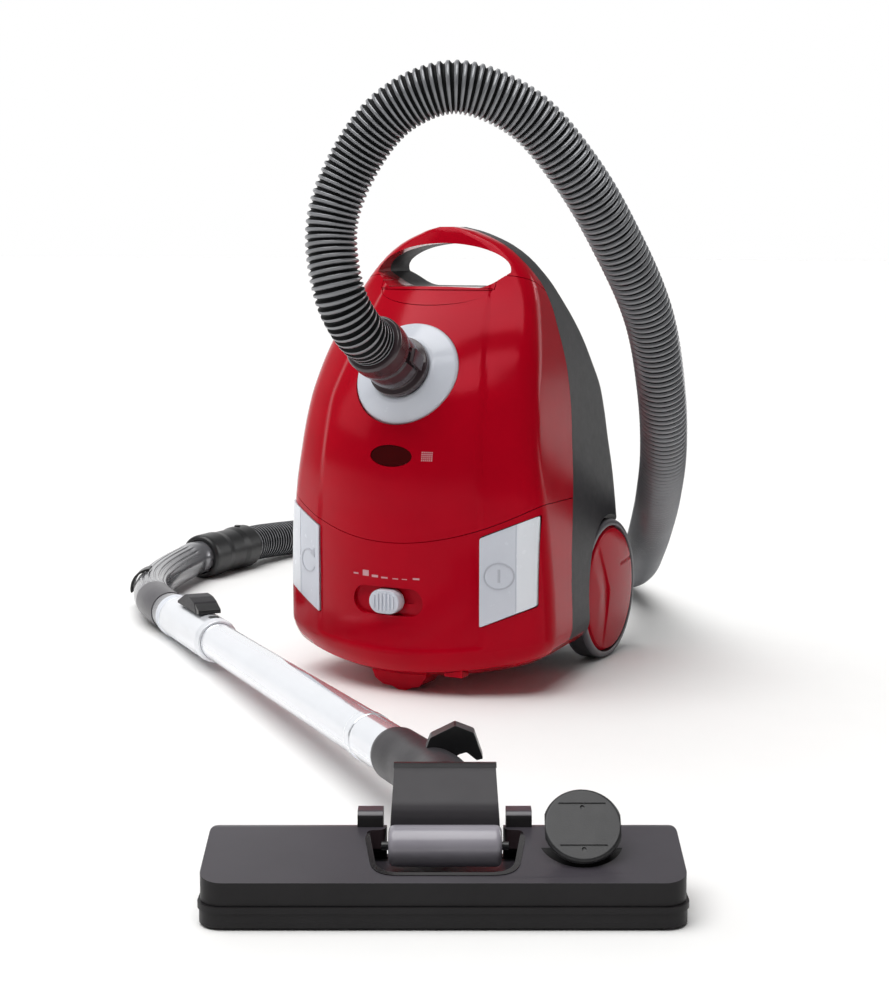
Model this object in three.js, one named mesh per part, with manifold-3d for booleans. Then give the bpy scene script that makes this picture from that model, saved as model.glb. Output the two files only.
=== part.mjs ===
// Canister vacuum cleaner, parked upright on its tail, with its hose, telescopic wand and floor nozzle.
// Millimetres, +Z up. The canister's front (pedals, inlet) faces -Y and +X is its right-hand side.
// The wand and nozzle lie on the floor in front of it, turned about Z by WAND_HEADING.

import * as THREE from 'three';
import { mergeVertices } from 'three/addons/utils/BufferGeometryUtils.js';
import Module from 'manifold-3d';

const wasm = await Module();
wasm.setup();

// ---------------------------------------------------------------- driving dimensions

const GAP = 0.3; // between pieces that touch
const WALL = 3; // moulded shells
const WAND_HEADING = 26.75; // degrees, the way the nozzle faces

// Body outline by height: half width, front and back of the centre line.
const BODY = [
  { z: 9, half: 98, front: -16, back: 196 },
  { z: 16, half: 115, front: -31, back: 210 },
  { z: 36, half: 120, front: -36, back: 215 },
  { z: 80, half: 121, front: -37.5, back: 217 },
  { z: 120, half: 119.5, front: -37.5, back: 218 },
  { z: 160, half: 115.5, front: -36, back: 218 },
  { z: 200, half: 109.5, front: -31, back: 217 },
  { z: 235, half: 105.5, front: -21, back: 209 },
  { z: 265, half: 101, front: -5, back: 187 },
  { z: 290, half: 95, front: 12, back: 168 },
  { z: 327, half: 82, front: 41, back: 133 },
  { z: 342, half: 73, front: 50, back: 122 },
  { z: 360, half: 55, front: 59, back: 109 },
  { z: 375, half: 24, front: 65, back: 99 },
  { z: 378.5, half: 8, front: 67, back: 96 },
];
const FRONT_BOW = 0.0031; // front face: y = front + bow x^2
const SIDE_TAPER = 0.09; // sides close in towards the back
const RIM_RISE = 15; // the bottom rim is higher at the sides
const RIM_FADE = 100;
const CORNER = 13; // front corner radius
const BACK_CORNER = 18;
const CAVITY_TOP = 318;

// Seam between the red front shells and the grey chassis: y by height. A lip runs under the chassis.
const SIDE_SEAM = [
  [108, -60], [108, 37], [66, 37], [66, 85], [84, 150], [100, 190], [107, 230],
  [105, 260], [99, 290], [97, 310], [92, 327], [80, 350], [76, 420],
];

// Lid hinge, parallel to X, and the lid's two curved seams about it.
const HINGE_Y = -17;
const HINGE_Z = 93;
const SEAM_LOW = 125; // height of the lid's lower seam at the centre line
const SEAM_RISE = 33; // and its rise at the sides
const LID_TOP_RADIUS = 239; // under the handle's opening
const LID_SHOULDER_RADIUS = 254; // beside it
const LID_SHOULDER_X = 55;

const HANDLE_GAP = { half: 52, floor: 328.5, spring: 334, rise: 31 };

// Hose inlet on the lid
const INLET_Y = -2;
const INLET_Z = 258.7;
const INLET_TILT = 26; // degrees above horizontal
const RING_RADIUS = 45;
const CONNECTOR_LENGTH = 66;
const CONNECTOR_RADIUS = 22.5;

// Wheels
const WHEEL_RADIUS = 61.8;
const WHEEL_Y = 179;
const WHEEL_INNER = 84;
const WHEEL_OUTER = 106;
const POCKET_RADIUS = 66;
const CASTER_Z = 216;

// Hose and wand, in the wand's frame: u to the right, v away, z up
const HOSE_RADIUS = 20;
const CUFF_END = [-198.2, 582.5, 24];
const CUFF_START = [-240, 500.5, 24];
const GRIP_END = [-222.7, 199.1, 20];
const ELBOW_MOUTH = [-6, -348, 42];
const OUTER_TUBE = 16;
const INNER_TUBE = 14;
const SLEEVE_RADIUS = 19;
const NECK_U = 29;
const ELBOW_END_Z = 50.5;
const BARREL_V = -513;
const BARREL_Z = 33;
const BARREL_RADIUS = 11.5;

// Nozzle
const NOZZLE_U = 28;
const NOZZLE_FRONT = -557;
const NOZZLE_DEPTH = 72;
const NOZZLE_WIDTH = 266;
const SOLE_TOP = 15;

// ---------------------------------------------------------------- materials

function material(color, roughness, metalness = 0) {
  return new THREE.MeshStandardMaterial({ color, roughness, metalness });
}
const RED = material(0xa80f1d, 0.18);
const GREY = material(0x45454a, 0.5);
const DARK = material(0x2e2e31, 0.45);
const BLACK = material(0x161618, 0.5);
const WHITE = material(0xe6e8ee, 0.3);
const SMOKE = material(0x3b2f31, 0.25);
const LENS = material(0x4a0508, 0.1);
const CHROME = material(0xd0d2d6, 0.12, 1);
const STEEL = material(0x9a9ca0, 0.35, 1);
const SILVER = material(0xc9ccd2, 0.35);
const RUBBER = material(0x39393c, 0.8);
const PAPER = material(0xd9cfb8, 0.95);
const FOAM = material(0x5a5c60, 0.95);
const BOARD = material(0x1f5a35, 0.6);

// ---------------------------------------------------------------- solids

// A closed geometry becomes a manifold solid with its faces pointing out.
function solid(geometry) {
  const bare = geometry.clone();
  bare.deleteAttribute('normal');
  bare.deleteAttribute('uv');
  const merged = mergeVertices(bare, 1e-4);
  const p = merged.attributes.position.array;
  const index = merged.index.array;
  const triangles = [];
  let volume = 0;
  const a = new THREE.Vector3();
  const b = new THREE.Vector3();
  const c = new THREE.Vector3();
  for (let i = 0; i < index.length; i += 3) {
    const [i0, i1, i2] = [index[i], index[i + 1], index[i + 2]];
    if (i0 === i1 || i1 === i2 || i2 === i0) continue;
    triangles.push([i0, i1, i2]);
    a.fromArray(p, 3 * i0);
    b.fromArray(p, 3 * i1);
    c.fromArray(p, 3 * i2);
    volume += a.dot(b.cross(c));
  }
  const order = volume < 0 ? triangles.map(([i, j, k]) => [i, k, j]) : triangles;
  return new wasm.Manifold(new wasm.Mesh({
    numProp: 3,
    vertProperties: Float32Array.from(p),
    triVerts: Uint32Array.from(order.flat()),
  }));
}

function union(...solids) {
  return solids.reduce((whole, piece) => whole.add(piece));
}

function cut(whole, ...tools) {
  return tools.reduce((rest, tool) => rest.subtract(tool), whole);
}

// Extrudes a list of [a, b] points, or a shape, along the third axis from low to high.
function prism(axis, outline, low, high, steps = 12) {
  const shape = Array.isArray(outline)
    ? new THREE.Shape(outline.map(([a, b]) => new THREE.Vector2(a, b)))
    : outline;
  const extrusion = { depth: high - low, bevelEnabled: false, curveSegments: steps };
  const geometry = new THREE.ExtrudeGeometry(shape, extrusion);
  const X = new THREE.Vector3(1, 0, 0);
  const Y = new THREE.Vector3(0, 1, 0);
  const Z = new THREE.Vector3(0, 0, 1);
  const basis = { x: [Y, Z, X], y: [X, Z, Y.clone().negate()], z: [X, Y, Z] }[axis];
  const move = new THREE.Matrix4().makeBasis(...basis);
  const start = { x: [low, 0, 0], y: [0, high, 0], z: [0, 0, low] }[axis];
  move.setPosition(...start);
  return solid(geometry.applyMatrix4(move));
}

function block(x0, x1, y0, y1, z0, z1) {
  const geometry = new THREE.BoxGeometry(x1 - x0, y1 - y0, z1 - z0);
  return solid(geometry.translate((x0 + x1) / 2, (y0 + y1) / 2, (z0 + z1) / 2));
}

// Turns a profile of [radius, distance] points about the line from start along direction.
function turned(profile, start, direction, segments = 20) {
  const points = profile.map(([r, h]) => new THREE.Vector2(r, h));
  const geometry = new THREE.LatheGeometry(points, segments);
  const up = new THREE.Vector3(0, 1, 0);
  const way = new THREE.Vector3(...direction).normalize();
  geometry.applyQuaternion(new THREE.Quaternion().setFromUnitVectors(up, way));
  return solid(geometry.translate(...start));
}

function rod(start, direction, low, high, radius, segments = 18) {
  const profile = [[0, low], [radius, low], [radius, high], [0, high]];
  return turned(profile, start, direction, segments);
}

function pipe(start, direction, low, high, outer, inner, segments = 20) {
  const profile = [[inner, low], [outer, low], [outer, high], [inner, high], [inner, low]];
  return turned(profile, start, direction, segments);
}

// A round section, hollow if it has a bore, swept along a smooth curve through points.
function swept(points, radius, bore, sides, steps) {
  const ring = (r) => Array.from({ length: sides }, (_, i) => {
    const angle = (2 * Math.PI * i) / sides;
    return new THREE.Vector2(r * Math.cos(angle), r * Math.sin(angle));
  });
  const shape = new THREE.Shape(ring(radius));
  if (bore) shape.holes.push(new THREE.Path(ring(bore).reverse()));
  const path = new THREE.CatmullRomCurve3(points.map((q) => new THREE.Vector3(...q)));
  return solid(new THREE.ExtrudeGeometry(shape, { steps, extrudePath: path }));
}

const group = new THREE.Group();
const canister = new THREE.Group();
const wand = new THREE.Group();
wand.rotation.z = THREE.MathUtils.degToRad(WAND_HEADING);
group.add(canister, wand);

function add(parent, name, shape, finish) {
  const { numProp, vertProperties, triVerts } = shape.getMesh();
  const geometry = new THREE.BufferGeometry();
  const positions = new Float32Array((vertProperties.length / numProp) * 3);
  for (let i = 0; i < positions.length / 3; i += 1) {
    for (let k = 0; k < 3; k += 1) positions[3 * i + k] = vertProperties[numProp * i + k];
  }
  geometry.setAttribute('position', new THREE.BufferAttribute(positions, 3));
  geometry.setIndex(new THREE.BufferAttribute(triVerts, 1));
  geometry.computeVertexNormals();
  const mesh = new THREE.Mesh(geometry, finish);
  mesh.name = name;
  parent.add(mesh);
}

// ---------------------------------------------------------------- body shape

function bodyAt(z) {
  const next = Math.max(1, BODY.findIndex((level) => level.z >= z));
  const [low, high] = [BODY[next - 1], BODY[next]];
  const t = THREE.MathUtils.clamp((z - low.z) / (high.z - low.z), 0, 1);
  const mix = (key) => THREE.MathUtils.lerp(low[key], high[key], t);
  return { half: mix('half'), front: mix('front'), back: mix('back') };
}

function bend(a, b, c, t) {
  return [0, 1].map((k) => (1 - t) ** 2 * a[k] + 2 * t * (1 - t) * b[k] + t * t * c[k]);
}

// One closed ring of the body: bowed front, round front corner, tapered side, round back corner.
function bodyRing(z, inset, frontInset) {
  const { half, front, back } = bodyAt(z);
  const w = half - inset;
  const corner = Math.min(CORNER, w * 0.45);
  const f = front + frontInset;
  const bowed = (x) => f + FRONT_BOW * x * x;
  const b = back - inset;
  const side = (y) => w - SIDE_TAPER * (y - bowed(w));
  const right = [0, 0.3, 0.57, 0.8, 1].map((t) => {
    const x = t * (w - corner);
    return [x, bowed(x)];
  });
  const turn = bowed(w) + corner * 1.2;
  for (const t of [0.33, 0.67, 1]) {
    right.push(bend(right[4], [w, bowed(w)], [side(turn), turn], t));
  }
  const backCorner = Math.min(BACK_CORNER, (b - turn) * 0.45, w * 0.45);
  const start = [side(b - backCorner), b - backCorner];
  for (const t of [0, 0.5, 1]) {
    right.push(bend(start, [side(b), b], [side(b) - backCorner, b], t));
  }
  const left = right.slice(1).reverse().map(([x, y]) => [-x, y]);
  return [...right, ...left].map(([x, y]) => {
    const rise = RIM_RISE * (x / BODY[3].half) ** 2 * Math.max(0, (RIM_FADE - z) / RIM_FADE);
    return [x, y, z + rise];
  });
}

// The body's outer shape drawn in by inset, between two heights.
function bodySolid(inset, low = BODY[0].z, high = BODY.at(-1).z, frontInset = inset) {
  const between = BODY.map((level) => level.z).filter((z) => z > low + 1 && z < high - 1);
  const heights = [low, ...between, high];
  const rings = heights.map((z) => bodyRing(z, inset, frontInset));
  const count = rings[0].length;
  const positions = rings.flat(2);
  const index = [];
  for (let k = 0; k + 1 < rings.length; k += 1) {
    for (let i = 0; i < count; i += 1) {
      const [a, b] = [k * count + i, k * count + ((i + 1) % count)];
      index.push(a, b, b + count, a, b + count, a + count);
    }
  }
  const top = rings.length * count;
  const centre = (ring) => [0, (ring[0][1] + ring[(count + 1) / 2][1]) / 2, ring[0][2]];
  positions.push(...centre(rings[0]), ...centre(rings.at(-1)));
  for (let i = 0; i < count; i += 1) {
    const j = (i + 1) % count;
    index.push(top, j, i, top + 1, top - count + i, top - count + j);
  }
  const geometry = new THREE.BufferGeometry();
  geometry.setAttribute('position', new THREE.Float32BufferAttribute(positions, 3));
  geometry.setIndex(index);
  return solid(geometry);
}

const seamHeight = (x) => SEAM_LOW + SEAM_RISE * (x / 116) ** 2;

// Radius of the lid's lower seam about the hinge, at a distance x from the centre line.
function seamRadius(x) {
  const ahead = Math.min(0, BODY[3].front + FRONT_BOW * x * x - HINGE_Y);
  return Math.hypot(ahead, seamHeight(x) - HINGE_Z);
}

const SEAM_STATIONS = [-130, -112, -84, -56, -28, 0, 28, 56, 84, 112, 130];
const HINGE = [0, HINGE_Y, HINGE_Z];

// Everything under the lid's lower seam.
function belowSeam(spare) {
  const radius = SEAM_STATIONS.map((x) => [seamRadius(x) + spare, x]);
  const ends = [[0, SEAM_STATIONS[0]], ...radius, [0, SEAM_STATIONS.at(-1)]];
  const drum = turned(ends, HINGE, [1, 0, 0], 48);
  const outline = [[-130, -60], [130, -60], ...radius.toReversed().map(([r, x]) => [x, HINGE_Z + r])];
  return union(drum, prism('y', outline, HINGE_Y, 300), block(-130, 130, -200, 0, -60, HINGE_Z));
}

// Everything under the lid's upper seam, which clears the handle as the lid swings.
function belowLidTop(spare) {
  const [inner, outer] = [LID_TOP_RADIUS + spare, LID_SHOULDER_RADIUS + spare];
  const step = LID_SHOULDER_X - spare;
  const profile = [
    [0, -130], [outer, -130], [outer, -step], [inner, -step],
    [inner, step], [outer, step], [outer, 130], [0, 130],
  ];
  return turned(profile, HINGE, [1, 0, 0], 84);
}

function frontOf(spare) {
  const seam = SIDE_SEAM.map(([y, z]) => [y - spare, z]);
  return prism('x', [[-200, 420], [-200, -60], ...seam], -140, 140);
}

function handleGap() {
  const { half, floor, spring, rise } = HANDLE_GAP;
  const shape = new THREE.Shape();
  shape.moveTo(-half, floor);
  shape.lineTo(half, floor);
  shape.lineTo(half, spring);
  shape.absellipse(0, spring, half, rise, 0, Math.PI);
  return prism('y', shape, -20, 220, 9);
}

const outside = bodySolid(0);
const shell = cut(outside, bodySolid(WALL, 13, CAVITY_TOP), handleGap());
const frontShell = shell.intersect(frontOf(0));

// A patch of the shell between two depths under its surface.
function skin(outline, from, to) {
  return outline.intersect(cut(bodySolid(from), bodySolid(to)));
}

// ---------------------------------------------------------------- inlet frame

const tilt = THREE.MathUtils.degToRad(INLET_TILT);
const INLET = [0, INLET_Y, INLET_Z];
const INLET_WAY = [0, -Math.cos(tilt), Math.sin(tilt)];

// ---------------------------------------------------------------- lid

const LENS_CHORD = 322;
const LENS_DEPTH = 12;
const LENS_HALF = 51;

// Lens outline of the latch under the handle, grown by spare.
function latchOutline(spare) {
  const shape = new THREE.Shape();
  shape.moveTo(LENS_HALF + spare, LENS_CHORD + spare);
  shape.lineTo(-LENS_HALF - spare, LENS_CHORD + spare);
  const depth = LENS_DEPTH + 2 * spare;
  shape.absellipse(0, LENS_CHORD + spare, LENS_HALF + spare, depth, Math.PI, 2 * Math.PI);
  return prism('y', shape, 0, 75, 8);
}

function windowOutline(spare) {
  const shape = new THREE.Shape();
  shape.absellipse(0, 196, 18.5 + spare, 8.3 + spare, 0, 2 * Math.PI);
  return prism('y', shape, -50, 10, 10);
}

// Goose-neck arm from the lid's lower edge round to the hinge pin.
function hingeArm(x0, x1) {
  const [inner, outer] = [41, 46];
  const angle = (degrees) => THREE.MathUtils.degToRad(degrees);
  const shape = new THREE.Shape();
  shape.absarc(HINGE_Y, HINGE_Z, outer, angle(110), angle(2), true);
  shape.absarc(HINGE_Y, HINGE_Z, inner, angle(2), angle(110), false);
  const arc = prism('x', shape, x0, x1, 10);
  const bar = block(x0, x1, HINGE_Y, HINGE_Y + 43, HINGE_Z - 2.5, HINGE_Z + 3.5);
  const boss = rod([0, HINGE_Y, HINGE_Z], [1, 0, 0], x0, x1, 6, 20);
  const bore = rod([0, HINGE_Y, HINGE_Z], [1, 0, 0], x0 - 1, x1 + 1, 3, 20);
  return cut(union(arc, bar, boss), bore);
}

function addLid() {
  const skinned = cut(frontShell.intersect(belowLidTop(0)), belowSeam(0.6));
  const seat = rod(INLET, INLET_WAY, -12.5, 40, RING_RADIUS + 3, 28).intersect(outside);
  const latchSeat = skin(latchOutline(3), 0, 10).intersect(belowLidTop(0)).intersect(frontOf(0));
  const arms = [hingeArm(44, 52), hingeArm(-52, -44)].map((arm) => arm.intersect(outside));
  const whole = union(skinned, seat, latchSeat, ...arms);
  const ringWell = rod(INLET, INLET_WAY, -8.6, 41, RING_RADIUS + 0.4, 28);
  const ringHole = rod(INLET, INLET_WAY, -20, 0, 30, 28);
  const latchWell = skin(latchOutline(0.5), -3, 6.5);
  const lid = cut(whole, ringWell, ringHole, latchWell, windowOutline(GAP));
  add(canister, 'lid', lid, RED);
  add(canister, 'lid_latch', skin(latchOutline(0), 0, 2.8), RED);
  add(canister, 'indicator_window', skin(windowOutline(0), 0.4, 2.8), LENS);
  add(canister, 'indicator_flag', block(-14, 14, -25.4, -23.8, 189, 196), WHITE);
}

function addInlet() {
  const ring = [
    [23.6, -14], [29.4, -14], [29.4, -8.2], [RING_RADIUS, -8.2], [RING_RADIUS, 2.5],
    [43.5, 4.5], [28, 12.5], [24.4, 12.5], [23.6, 11], [23.6, -14],
  ];
  add(canister, 'inlet_ring', turned(ring, INLET, INLET_WAY, 28), WHITE);
  add(canister, 'inlet_seal', pipe(INLET, INLET_WAY, -19, -14.3, 29, 21.5, 24), RUBBER);
  const end = CONNECTOR_LENGTH;
  const tube = [
    [17, -12], [22.6, -12], [22.6, 13.5], [25.5, 14.5], [25.5, 20], [CONNECTOR_RADIUS - 2, 21.5],
    [CONNECTOR_RADIUS - 2, 47], [24, 48.5], [24, end - 2], [22.5, end], [17, end], [17, -12],
  ];
  add(canister, 'hose_connector', turned(tube, INLET, INLET_WAY, 28), SMOKE);
  const centre = new THREE.Vector3(...INLET);
  const way = new THREE.Vector3(...INLET_WAY);
  for (const [name, side] of [['connector_clip_left', -1], ['connector_clip_right', 1]]) {
    const clip = new THREE.BoxGeometry(3, 22, 12);
    clip.translate(side * (CONNECTOR_RADIUS + 1.4), 34, 0);
    const turn = new THREE.Quaternion().setFromUnitVectors(new THREE.Vector3(0, 1, 0), way);
    clip.applyQuaternion(turn).translate(centre.x, centre.y, centre.z);
    add(canister, name, solid(clip), BLACK);
  }
}

// ---------------------------------------------------------------- lower housing

const PEDAL = { inner: 74, outer: 113.5, low: 60.5, high: 132.5, rise: 17 };

// Outline of a foot pedal on one side, grown by spare.
function pedalOutline(side, spare) {
  const { inner, outer, low, high, rise } = PEDAL;
  const [x0, x1] = [side * (inner - spare), side * (outer + spare)];
  const corners = [
    [x0, low - spare], [x1, low + rise - spare], [x1, high + rise + spare], [x0, high + spare],
  ];
  return prism('y', side > 0 ? corners : corners.reverse(), -60, 8 + 6 * spare);
}

const SLIDER = { z: 78, half: 34, tall: 11.5, floor: -29.5, knob: -3 };

function stadium(half, tall, z) {
  const shape = new THREE.Shape();
  shape.absarc(half - tall, z, tall, -Math.PI / 2, Math.PI / 2, false);
  shape.absarc(tall - half, z, tall, Math.PI / 2, (3 * Math.PI) / 2, false);
  return shape;
}

function addLowerHousing() {
  const skinned = frontShell.intersect(belowSeam(0));
  const { z, half, tall, floor } = SLIDER;
  const sliderSeat = block(-38, 38, -35, floor + 3, z - 16, z + 14).intersect(outside);
  const ears = [-57.5, 53.5].map((x) => block(x, x + 4, -32, -16, 86, 100));
  const pinBore = rod(HINGE, [1, 0, 0], -62, 62, 3, 20);
  const track = prism('y', stadium(half, tall, z), -60, floor, 8);
  const slot = prism('y', stadium(22, 3, z), -60, 0, 4);
  const holes = [pedalOutline(1, 0.8), pedalOutline(-1, 0.8)];
  const whole = union(skinned, sliderSeat, ...ears);
  add(canister, 'lower_housing', cut(whole, track, slot, ...holes, pinBore), RED);
  add(canister, 'power_pedal', skin(pedalOutline(1, 0), -1.2, 2.6), WHITE);
  add(canister, 'rewind_pedal', skin(pedalOutline(-1, 0), -1.2, 2.6), WHITE);
  const knob = block(SLIDER.knob - 14, SLIDER.knob + 14, -44, floor - GAP, z - 9.6, z + 9.6);
  const stem = block(SLIDER.knob - 4, SLIDER.knob + 4, floor - 1, -19, z - 2.4, z + 2.4);
  add(canister, 'suction_slider', union(knob, stem), WHITE);
  add(canister, 'lid_hinge_pin', rod(HINGE, [1, 0, 0], -59, 59, 2.6, 16), STEEL);
  const foot = [
    [-26, 24], [-26, 15], [-17, 4], [-4.5, 3.5], [-4, 0],
    [4, 0], [4.5, 3.5], [17, 4], [26, 15], [26, 24],
  ];
  const bracket = prism('y', foot.toReversed(), -9, 13);
  const hookSlot = block(-13, 13, -3, 7, -2, 12).subtract(block(-6, 6, -3, 7, -2, 12));
  const bottom = bodySolid(-GAP, 8.7, 120);
  add(canister, 'parking_bracket', cut(bracket, bottom, hookSlot), RED);
}

// ---------------------------------------------------------------- chassis

const GRILLE = { half: 34, y0: 122, y1: 176 };
const OUTLET = [-58, 148];

function wheelPocket(side) {
  const [low, high] = side > 0 ? [78, 125] : [-125, -78];
  const [openLow, openHigh] = side > 0 ? [81, 130] : [-130, -81];
  const centre = [0, WHEEL_Y, WHEEL_RADIUS];
  return {
    wall: rod(centre, [1, 0, 0], low, high, POCKET_RADIUS + 3, 40).intersect(outside),
    space: rod(centre, [1, 0, 0], openLow, openHigh, POCKET_RADIUS, 40),
    bore: rod(centre, [side, 0, 0], 70, 130, 5.3, 16),
  };
}

function addChassis() {
  const skinned = cut(shell, frontOf(-GAP));
  const pockets = [wheelPocket(1), wheelPocket(-1)];
  const casterBoss = rod([0, 0, CASTER_Z], [0, 1, 0], 190, 221, 23, 32).intersect(outside);
  const casterWell = rod([0, 0, CASTER_Z], [0, 1, 0], 201, 230, 20, 32);
  const casterBore = rod([0, 0, CASTER_Z], [0, 1, 0], 180, 205, 5.5, 20);
  const { half, y0, y1 } = GRILLE;
  const opening = block(-half, half, y0, y1, -5, 30);
  const outlet = rod([OUTLET[0], OUTLET[1], 0], [0, 0, 1], -5, 30, 8.3, 20);
  const pocketWalls = pockets.map((pocket) => cut(pocket.wall, frontOf(-GAP)));
  const whole = union(skinned, casterBoss, ...pocketWalls);
  const tools = pockets.flatMap((pocket) => [pocket.space, pocket.bore]);
  add(canister, 'chassis', cut(whole, ...tools, casterWell, casterBore, opening, outlet), GREY);
  const cover = cut(frontShell, belowLidTop(0.6), belowSeam(1));
  add(canister, 'handle_cover', cover, RED);
  const plate = block(-half + GAP, half - GAP, y0 + GAP, y1 - GAP, 11, 14);
  const slots = Array.from({ length: 7 }, (_, i) => {
    const y = y0 + 7 + i * 6.7;
    return block(-half + 7, half - 7, y - 1.7, y + 1.7, 0, 20);
  });
  add(canister, 'exhaust_grille', cut(plate, ...slots), DARK);
  add(canister, 'exhaust_filter', block(-half - 3, half + 3, y0 - 3, y1 + 3, 18.5, 27), FOAM);
  const bush = [[4, 6], [11, 6], [11, 8.6], [8, 8.8], [8, 15], [4, 15], [4, 6]];
  add(canister, 'cord_outlet', turned(bush, [OUTLET[0], OUTLET[1], 0], [0, 0, 1], 20), BLACK);
}

// ---------------------------------------------------------------- wheels

function addWheels() {
  for (const [name, side] of [['right', 1], ['left', -1]]) {
    const centre = [0, WHEEL_Y, WHEEL_RADIUS];
    const way = [side, 0, 0];
    const tyre = [
      [5.4, WHEEL_INNER], [60, WHEEL_INNER], [WHEEL_RADIUS, WHEEL_INNER + 2],
      [WHEEL_RADIUS, WHEEL_OUTER - 2.5], [60, WHEEL_OUTER], [56, WHEEL_OUTER],
      [56, WHEEL_OUTER - 6], [12, WHEEL_OUTER - 8], [5.4, WHEEL_OUTER - 8], [5.4, WHEEL_INNER],
    ];
    add(canister, `wheel_${name}`, turned(tyre, centre, way, 36), GREY);
    const cap = [
      [0, WHEEL_OUTER - 7.6], [11, WHEEL_OUTER - 7.6], [55.5, WHEEL_OUTER - 5.6],
      [55.5, WHEEL_OUTER - 1], [52, WHEEL_OUTER + 1.5], [30, WHEEL_OUTER + 3], [0, WHEEL_OUTER + 3.6],
    ];
    add(canister, `hub_cap_${name}`, turned(cap, centre, way, 36), RED);
    add(canister, `axle_${name}`, rod(centre, way, 74, WHEEL_OUTER - 9, 5, 16), STEEL);
  }
  const pivot = [0, 0, CASTER_Z];
  const base = rod(pivot, [0, 1, 0], 201.5, 205.5, 17, 28);
  const stem = rod(pivot, [0, 1, 0], 186, 203, 5, 20);
  const axisZ = CASTER_Z - 7;
  const cheeks = [-11.5, 8.5].map((x) => block(x, x + 3, 204, 230, axisZ - 4, axisZ + 10));
  const bore = rod([0, 226, axisZ], [1, 0, 0], -15, 15, 2.4, 12);
  add(canister, 'caster_fork', cut(union(base, stem, ...cheeks), bore), DARK);
  const roller = [[2.4, -7], [11.5, -7], [13.5, -5], [13.5, 5], [11.5, 7], [2.4, 7], [2.4, -7]];
  add(canister, 'caster_wheel', turned(roller, [0, 226, axisZ], [1, 0, 0], 24), GREY);
  add(canister, 'caster_axle', rod([0, 226, axisZ], [1, 0, 0], -12.5, 12.5, 2, 12), STEEL);
}

// ---------------------------------------------------------------- inside the canister

const MOTOR = [18, 118];
const REEL = { y: 92, z: 82, radius: 52, x0: -76, x1: -42 };

function addInside() {
  const up = [0, 0, 1];
  const motorAxis = [MOTOR[0], MOTOR[1], 0];
  const deck = bodySolid(WALL + 0.5, 144, 147).intersect(block(-120, 120, 14, 300, 140, 150));
  const throat = rod(motorAxis, up, 130, 160, 34, 28);
  add(canister, 'bulkhead', cut(deck, throat), DARK);
  add(canister, 'motor_filter', rod(motorAxis, up, 147.4, 152, 40, 24), FOAM);
  const can = [
    [0, 34], [12, 34], [12, 40], [42, 42], [42, 102], [14, 104], [14, 100], [4.5, 100], [4.5, 60], [0, 60],
  ];
  add(canister, 'motor', turned(can, motorAxis, up, 20), STEEL);
  const rotor = [[0, 62], [4, 62], [4, 112], [44, 112], [44, 115], [12, 124], [12, 128], [0, 128]];
  add(canister, 'impeller', turned(rotor, motorAxis, up, 20), SILVER);
  const scroll = [
    [16, 105], [50, 105], [50, 141], [24, 141], [24, 138], [47, 138], [47, 108], [16, 108], [16, 105],
  ];
  add(canister, 'fan_housing', turned(scroll, motorAxis, up, 20), DARK);
  const across = [1, 0, 0];
  const { y, z, radius, x0, x1 } = REEL;
  const drum = [
    [6, x0], [radius, x0], [radius, x0 + 2], [26, x0 + 2], [26, x1 - 2], [radius, x1 - 2],
    [radius, x1], [6, x1], [6, x0],
  ];
  add(canister, 'cord_reel', turned(drum, [0, y, z], across, 24), BLACK);
  const shoe = block(x0 + 3, x0 + 9, y - 6, y + 2, 23.5, z - radius - 1.2);
  const arm = block(x0 + 3, x0 + 9, y - 40, y + 2, 23.5, 26.5);
  add(canister, 'brake_lever', union(shoe, arm), BLACK);
  add(canister, 'power_switch', block(78, 96, 26, 48, 92, 116), BLACK);
  add(canister, 'control_board', block(-34, 30, -14, -12, 58, 84), BOARD);
  const casterRoom = rod([0, 0, CASTER_Z], [0, 1, 0], 180, 230, 27, 20);
  add(canister, 'dust_bag', cut(bodySolid(16, 158, 296, 52), casterRoom), PAPER);
  const holder = cut(
    rod(INLET, INLET_WAY, -30, -26.5, 44, 24),
    rod(INLET, INLET_WAY, -40, -20, 20, 24),
  );
  add(canister, 'bag_holder', holder, DARK);
  add(canister, 'bag_collar', pipe(INLET, INLET_WAY, -25.8, -23.4, 36, 19, 24), PAPER);
}

// ---------------------------------------------------------------- hose

const toWand = (x, y, z) => {
  const turn = THREE.MathUtils.degToRad(WAND_HEADING);
  return [
    x * Math.cos(turn) + y * Math.sin(turn),
    y * Math.cos(turn) - x * Math.sin(turn),
    z,
  ];
};

function ahead(start, direction, distance) {
  return start.map((value, i) => value + direction[i] * distance);
}

function between(a, b) {
  const step = b.map((value, i) => value - a[i]);
  const length = Math.hypot(...step);
  return { way: step.map((value) => value / length), length };
}

// The route in the wand's frame, from the connector over the arch, down and round to the cuff.
const HOSE_ROUTE = [
  [-51, -88, 326], [-57, -85, 377], [-42, -85, 421], [-9, -92, 463], [36, -98, 480],
  [87, -93, 462], [128, -79, 419], [163, -52, 365], [192, -16, 307], [208, 25, 243], [216, 72, 189],
  [219, 130, 143], [221, 200, 104], [223, 270, 73], [224, 335, 47], [221, 395, 30], [212, 450, 21.5],
  [192, 503, 20.6], [158, 560, 20.6], [112, 615, 20.6], [56, 658, 20.6], [-4, 686, 20.6],
  [-62, 697, 20.6], [-112, 687, 20.6], [-150, 660, 20.8],
];

function hoseRoute() {
  const start = toWand(...ahead(INLET, INLET_WAY, CONNECTOR_LENGTH + GAP));
  const leadIn = toWand(...ahead(INLET, INLET_WAY, CONNECTOR_LENGTH + 26));
  const { way } = between(CUFF_START, CUFF_END);
  return [start, leadIn, ...HOSE_ROUTE, ahead(CUFF_END, way, 24), ahead(CUFF_END, way, GAP)];
}

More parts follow.
